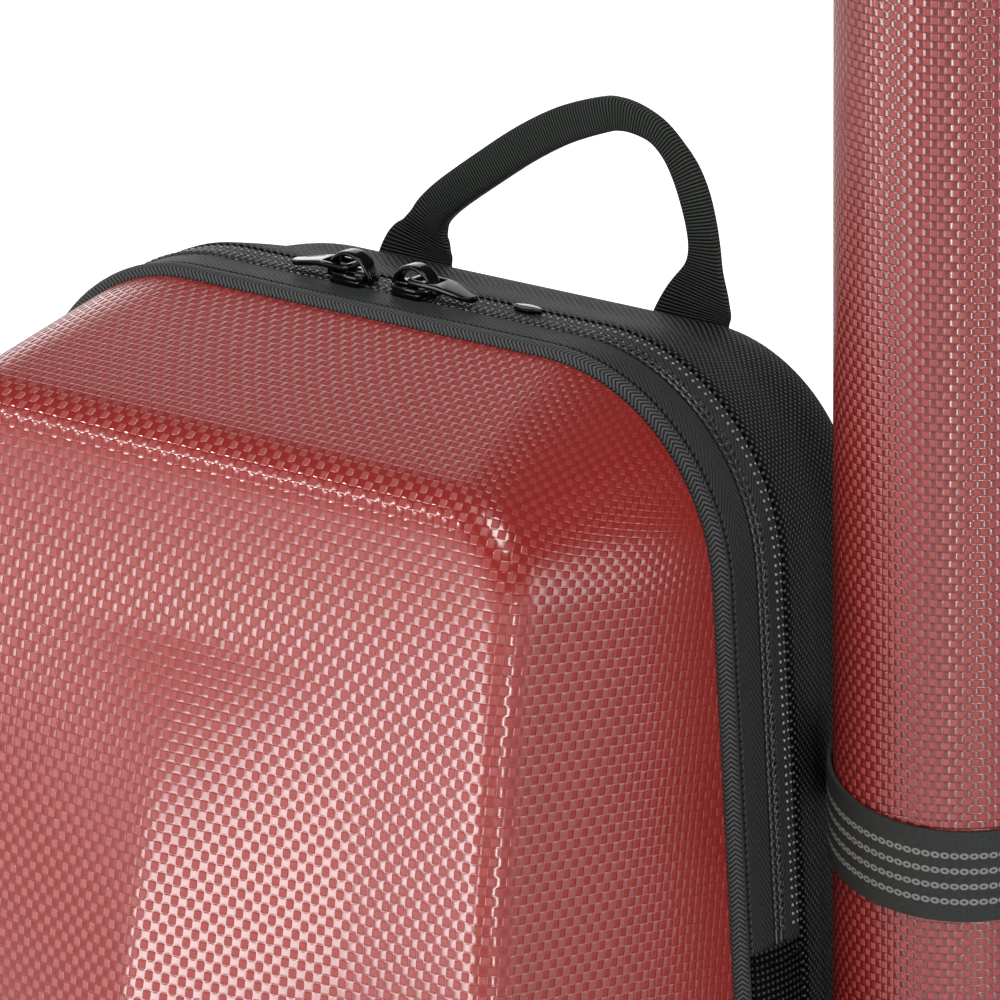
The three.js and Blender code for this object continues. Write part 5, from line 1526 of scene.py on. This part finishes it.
# Radius and height round the tube foot's section
TUBE_FOOT = ((0, 0.8), (30, 0.8), (31.5, 0), (35.5, 0), (37.6, 0.9), (38.5, 3), (38.5, 11.2), (38.0, 11.8),
             (38.0, 12.8), (38.5, 13.4), (38.5, 19.6), (38.2, 20), (35.7, 20), (35.7, 30), (32.7, 30), (32.7, 3),
             (0, 3))
CAP_GROOVES = 7


def build_tube_fittings():
    """Moulded foot, collar and cap of the bow tube, and its plush lining."""
    piece("tube_foot_moulding", turned_shape(TUBE_FOOT), "plastic", "bow_tube", ["tube_foot"], crease=30)
    low, high = (corner.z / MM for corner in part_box("tube_cap"))
    cap = [(0, high), (34.5, high), (36.8, high - 0.6), (38.2, high - 2), (38.5, high - 3.6)]
    for i in range(CAP_GROOVES):
        z = high - 8 - 3 * i
        cap += [(38.5, z + 0.9), (38.0, z + 0.4), (38.0, z - 0.4), (38.5, z - 0.9)]
    cap += [(38.5, low + 0.5), (38.1, low), (36.1, low), (36.1, high - 3), (0, high - 3)]
    piece("tube_cap_moulding", turned_shape(cap), "plastic", "bow_tube_cap", ["tube_cap"], crease=30)
    for node, name, finish, wall in (("tube_collar", "tube_collar_ring", "plastic", 2.0),
                                     ("tube_lining", "tube_plush", "plush", 1.0)):
        low, high = (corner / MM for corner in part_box(node))
        outer = (high.x - low.x) / 2
        ring = [(outer - wall, low.z), (outer - 0.2, low.z), (outer, low.z + 0.3), (outer, high.z - 0.3),
                (outer - 0.2, high.z), (outer - wall, high.z), (outer - wall, low.z)]
        piece(name, turned_shape(ring), finish, "bow_tube", [node], crease=30)


def finish_kept_nodes():
    """Moulded parts whose drawn shape is already right get their finish."""
    for node in ("back_tray", "lid_frame"):
        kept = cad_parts[node]
        kept.data.materials.clear()
        kept.data.materials.append(finishes["plastic"])


# Floor, light and camera


def ray_kinds(tree):
    """Whether a ray comes from the camera, and whether it was mirrored or refracted."""
    rays = add(tree, "LightPath").node.outputs
    mirrored = add(tree, "Math", {0: rays["Is Glossy Ray"], 1: rays["Is Transmission Ray"]}, operation="ADD",
                   use_clamp=True)
    return rays["Is Camera Ray"], mirrored


def white_floor():
    """Matt white floor that the camera and reflections see as plain white, apart from the object's shadow."""
    sockets = {"Base Color": (0.8, 0.8, 0.8, 1), "Roughness": 1.0, "Specular IOR Level": 0.0,
               "Emission Color": (1, 1, 1, 1)}
    material, tree, shader = finish_material("white_floor", sockets)
    camera, mirrored = ray_kinds(tree)
    mirrored = add(tree, "Math", {0: mirrored, 1: FLOOR_GLOW_MIRRORED}, operation="MULTIPLY")
    away = add(tree, "VectorMath", {0: add(tree, "TexCoord", out=3)}, out=1, operation="LENGTH")
    seen = add(tree, "MapRange", {"Value": away, "From Min": 0.3, "From Max": 2.2, "To Min": FLOOR_GLOW_NEAR,
                                  "To Max": FLOOR_GLOW_FAR}, interpolation_type="SMOOTHSTEP")
    glow = add(tree, "Math", {0: camera, 1: seen, 2: mirrored}, operation="MULTIPLY_ADD")
    tree.links.new(glow, shader.inputs["Emission Strength"])
    return material


def studio_world():
    """A white studio: plain white where it is seen or reflected low down, dimmer overhead and as light."""
    world = bpy.data.worlds.new("studio")
    world.use_nodes = True
    bpy.context.scene.world = world
    tree = world.node_tree
    background = tree.nodes["Background"]
    camera, mirrored = ray_kinds(tree)
    level = add(tree, "SeparateXYZ", {0: add(tree, "TexCoord")}, out=2)
    high = add(tree, "MapRange", {"Value": level, "From Min": WHITE_BELOW, "From Max": DARK_ABOVE,
                                  "To Min": 1.0, "To Max": OVERHEAD}, interpolation_type="SMOOTHSTEP")
    seen = add(tree, "Mix", {"Factor": mirrored, "A": AMBIENT, "B": high}, data_type="FLOAT")
    strength = add(tree, "Mix", {"Factor": camera, "A": seen, "B": 1.0}, data_type="FLOAT")
    background.inputs["Color"].default_value = (1, 1, 1, 1)
    tree.links.new(strength, background.inputs["Strength"])


def stand_off(azimuth, elevation):
    """The way from the case to a compass angle from its front and an angle above level, both in degrees."""
    a, e = math.radians(azimuth), math.radians(elevation)
    return Vector((math.sin(a) * math.cos(e), -math.cos(a) * math.cos(e), math.sin(e)))


def softbox(name, azimuth, height, distance, width, tall, brightness):
    """A rectangular lamp at a compass angle from the case's front, turned towards its top."""
    lamp = bpy.data.lights.new(name, "AREA")
    lamp.shape = "RECTANGLE"
    lamp.size, lamp.size_y = width, tall
    lamp.energy = brightness * math.pi * width * tall
    made = bpy.data.objects.new(name, lamp)
    bpy.context.scene.collection.objects.link(made)
    made.location = stand_off(azimuth, 0) * distance + UP * height
    made.rotation_euler = (LAMP_AIM - made.location).to_track_quat("-Z", "Y").to_euler()
    made.visible_camera = False


def build_camera():
    """The photo's camera: where it stands and where it looks are two directions, a little apart."""
    camera = bpy.data.cameras.new("camera")
    camera.lens, camera.sensor_width = LENS, SENSOR
    camera.clip_start, camera.clip_end = 0.1, 60
    holder = bpy.data.objects.new("camera", camera)
    bpy.context.scene.collection.objects.link(holder)
    holder.location = place(*CAMERA_CENTRE) + stand_off(CAMERA_AZIMUTH, CAMERA_ELEVATION) * CAMERA_DISTANCE
    look = -stand_off(LOOK_AZIMUTH, LOOK_ELEVATION)
    roll = Matrix.Rotation(math.radians(CAMERA_ROLL), 3, "Z").to_quaternion()
    holder.rotation_mode = "QUATERNION"
    holder.rotation_quaternion = look.to_track_quat("-Z", "Y") @ roll
    bpy.context.scene.camera = holder


def build_stage():
    """Floor, world, lamps and camera."""
    shape = bmesh.new()
    bmesh.ops.create_circle(shape, cap_ends=True, segments=64, radius=14.0)
    finishes["floor"] = white_floor()
    piece("floor", shape, "floor")
    studio_world()
    for name, numbers in SOFTBOXES.items():
        softbox(name, *numbers)
    build_camera()
    bpy.context.scene.view_settings.view_transform = "Standard"


# Operators, panel and main


class CASE_OT_finishes(bpy.types.Operator):
    """Make the finishes of the case"""

    bl_idname = "violin_case.finishes"
    bl_label = "Finishes"

    def execute(self, context):
        make_finishes()
        return {"FINISHED"}


class CASE_OT_shell(bpy.types.Operator):
    """Form the embossed front shell and its lining"""

    bl_idname = "violin_case.shell"
    bl_label = "Front shell"

    def execute(self, context):
        build_shell()
        return {"FINISHED"}


class CASE_OT_rim(bpy.types.Operator):
    """Run the piping, zip tapes and coils round the rim"""

    bl_idname = "violin_case.rim"
    bl_label = "Piping and zip"

    def execute(self, context):
        build_piping()
        build_tapes()
        build_tape_stitches()
        build_coils()
        build_fabric_hinge()
        return {"FINISHED"}


class CASE_OT_sliders(bpy.types.Operator):
    """Cast the zip's sliders and pulls, and the tab beside the zip"""

    bl_idname = "violin_case.sliders"
    bl_label = "Sliders"

    def execute(self, context):
        for side in SLIDER_X:
            build_slider(side)
            build_pull(side)
        build_zip_tab()
        return {"FINISHED"}


class CASE_OT_sides(bpy.types.Operator):
    """Sew the nylon round the sides"""

    bl_idname = "violin_case.sides"
    bl_label = "Side fabric"

    def execute(self, context):
        build_gusset()
        return {"FINISHED"}


class CASE_OT_handles(bpy.types.Operator):
    """Fold the webbing of the haul loop and the carry handle"""

    bl_idname = "violin_case.handles"
    bl_label = "Handles"

    def execute(self, context):
        build_haul_loop()
        build_carry_handle()
        return {"FINISHED"}


class CASE_OT_tube(bpy.types.Operator):
    """Make the bow tube, its fittings and the elastic loops that hold it"""

    bl_idname = "violin_case.tube"
    bl_label = "Bow tube"

    def execute(self, context):
        build_tube()
        build_tube_fittings()
        for level in ELASTIC_HEIGHTS:
            build_elastic_loop(level)
        return {"FINISHED"}


class CASE_OT_back(bpy.types.Operator):
    """Make the back panel, its pads and the shoulder straps"""

    bl_idname = "violin_case.back"
    bl_label = "Back and straps"

    def execute(self, context):
        build_back()
        build_back_pads()
        build_shoulder_straps()
        build_adjusters()
        return {"FINISHED"}


class CASE_OT_inside(bpy.types.Operator):
    """Shape the foam and the neck strap, and give the moulded frames their finish"""

    bl_idname = "violin_case.inside"
    bl_label = "Inside"

    def execute(self, context):
        build_foam()
        build_neck_strap()
        finish_kept_nodes()
        return {"FINISHED"}


class CASE_OT_feet(bpy.types.Operator):
    """Mould the rubber guard and feet"""

    bl_idname = "violin_case.feet"
    bl_label = "Rubber feet"

    def execute(self, context):
        build_rubber_feet()
        return {"FINISHED"}


class CASE_OT_stage(bpy.types.Operator):
    """Set the floor, light and camera"""

    bl_idname = "violin_case.stage"
    bl_label = "Stage"

    def execute(self, context):
        build_stage()
        return {"FINISHED"}


STEPS = (CASE_OT_finishes, CASE_OT_shell, CASE_OT_rim, CASE_OT_sliders, CASE_OT_sides, CASE_OT_handles,
         CASE_OT_tube, CASE_OT_back, CASE_OT_inside, CASE_OT_feet, CASE_OT_stage)


class CASE_PT_panel(bpy.types.Panel):
    """Steps and settings of the violin case"""

    bl_label = "Violin case"
    bl_idname = "CASE_PT_panel"
    bl_space_type = "VIEW_3D"
    bl_region_type = "UI"
    bl_category = "Violin case"

    def draw(self, context):
        for name in ViolinCaseSettings.__annotations__:
            self.layout.prop(context.scene.violin_case, name)
        for step in STEPS:
            self.layout.operator(step.bl_idname)


CLASSES = (ViolinCaseSettings, *STEPS, CASE_PT_panel)


def register():
    for item in CLASSES:
        bpy.utils.register_class(item)
    bpy.types.Scene.violin_case = PointerProperty(type=ViolinCaseSettings)


def unregister():
    del bpy.types.Scene.violin_case
    for item in reversed(CLASSES):
        bpy.utils.unregister_class(item)


def main():
    register()
    bpy.ops.violin_case.finishes()
    bpy.ops.violin_case.shell()
    bpy.ops.violin_case.rim()
    bpy.ops.violin_case.sliders()
    bpy.ops.violin_case.sides()
    bpy.ops.violin_case.handles()
    bpy.ops.violin_case.tube()
    bpy.ops.violin_case.back()
    bpy.ops.violin_case.inside()
    bpy.ops.violin_case.feet()
    bpy.ops.violin_case.stage()


if __name__ == "__main__":
    main()
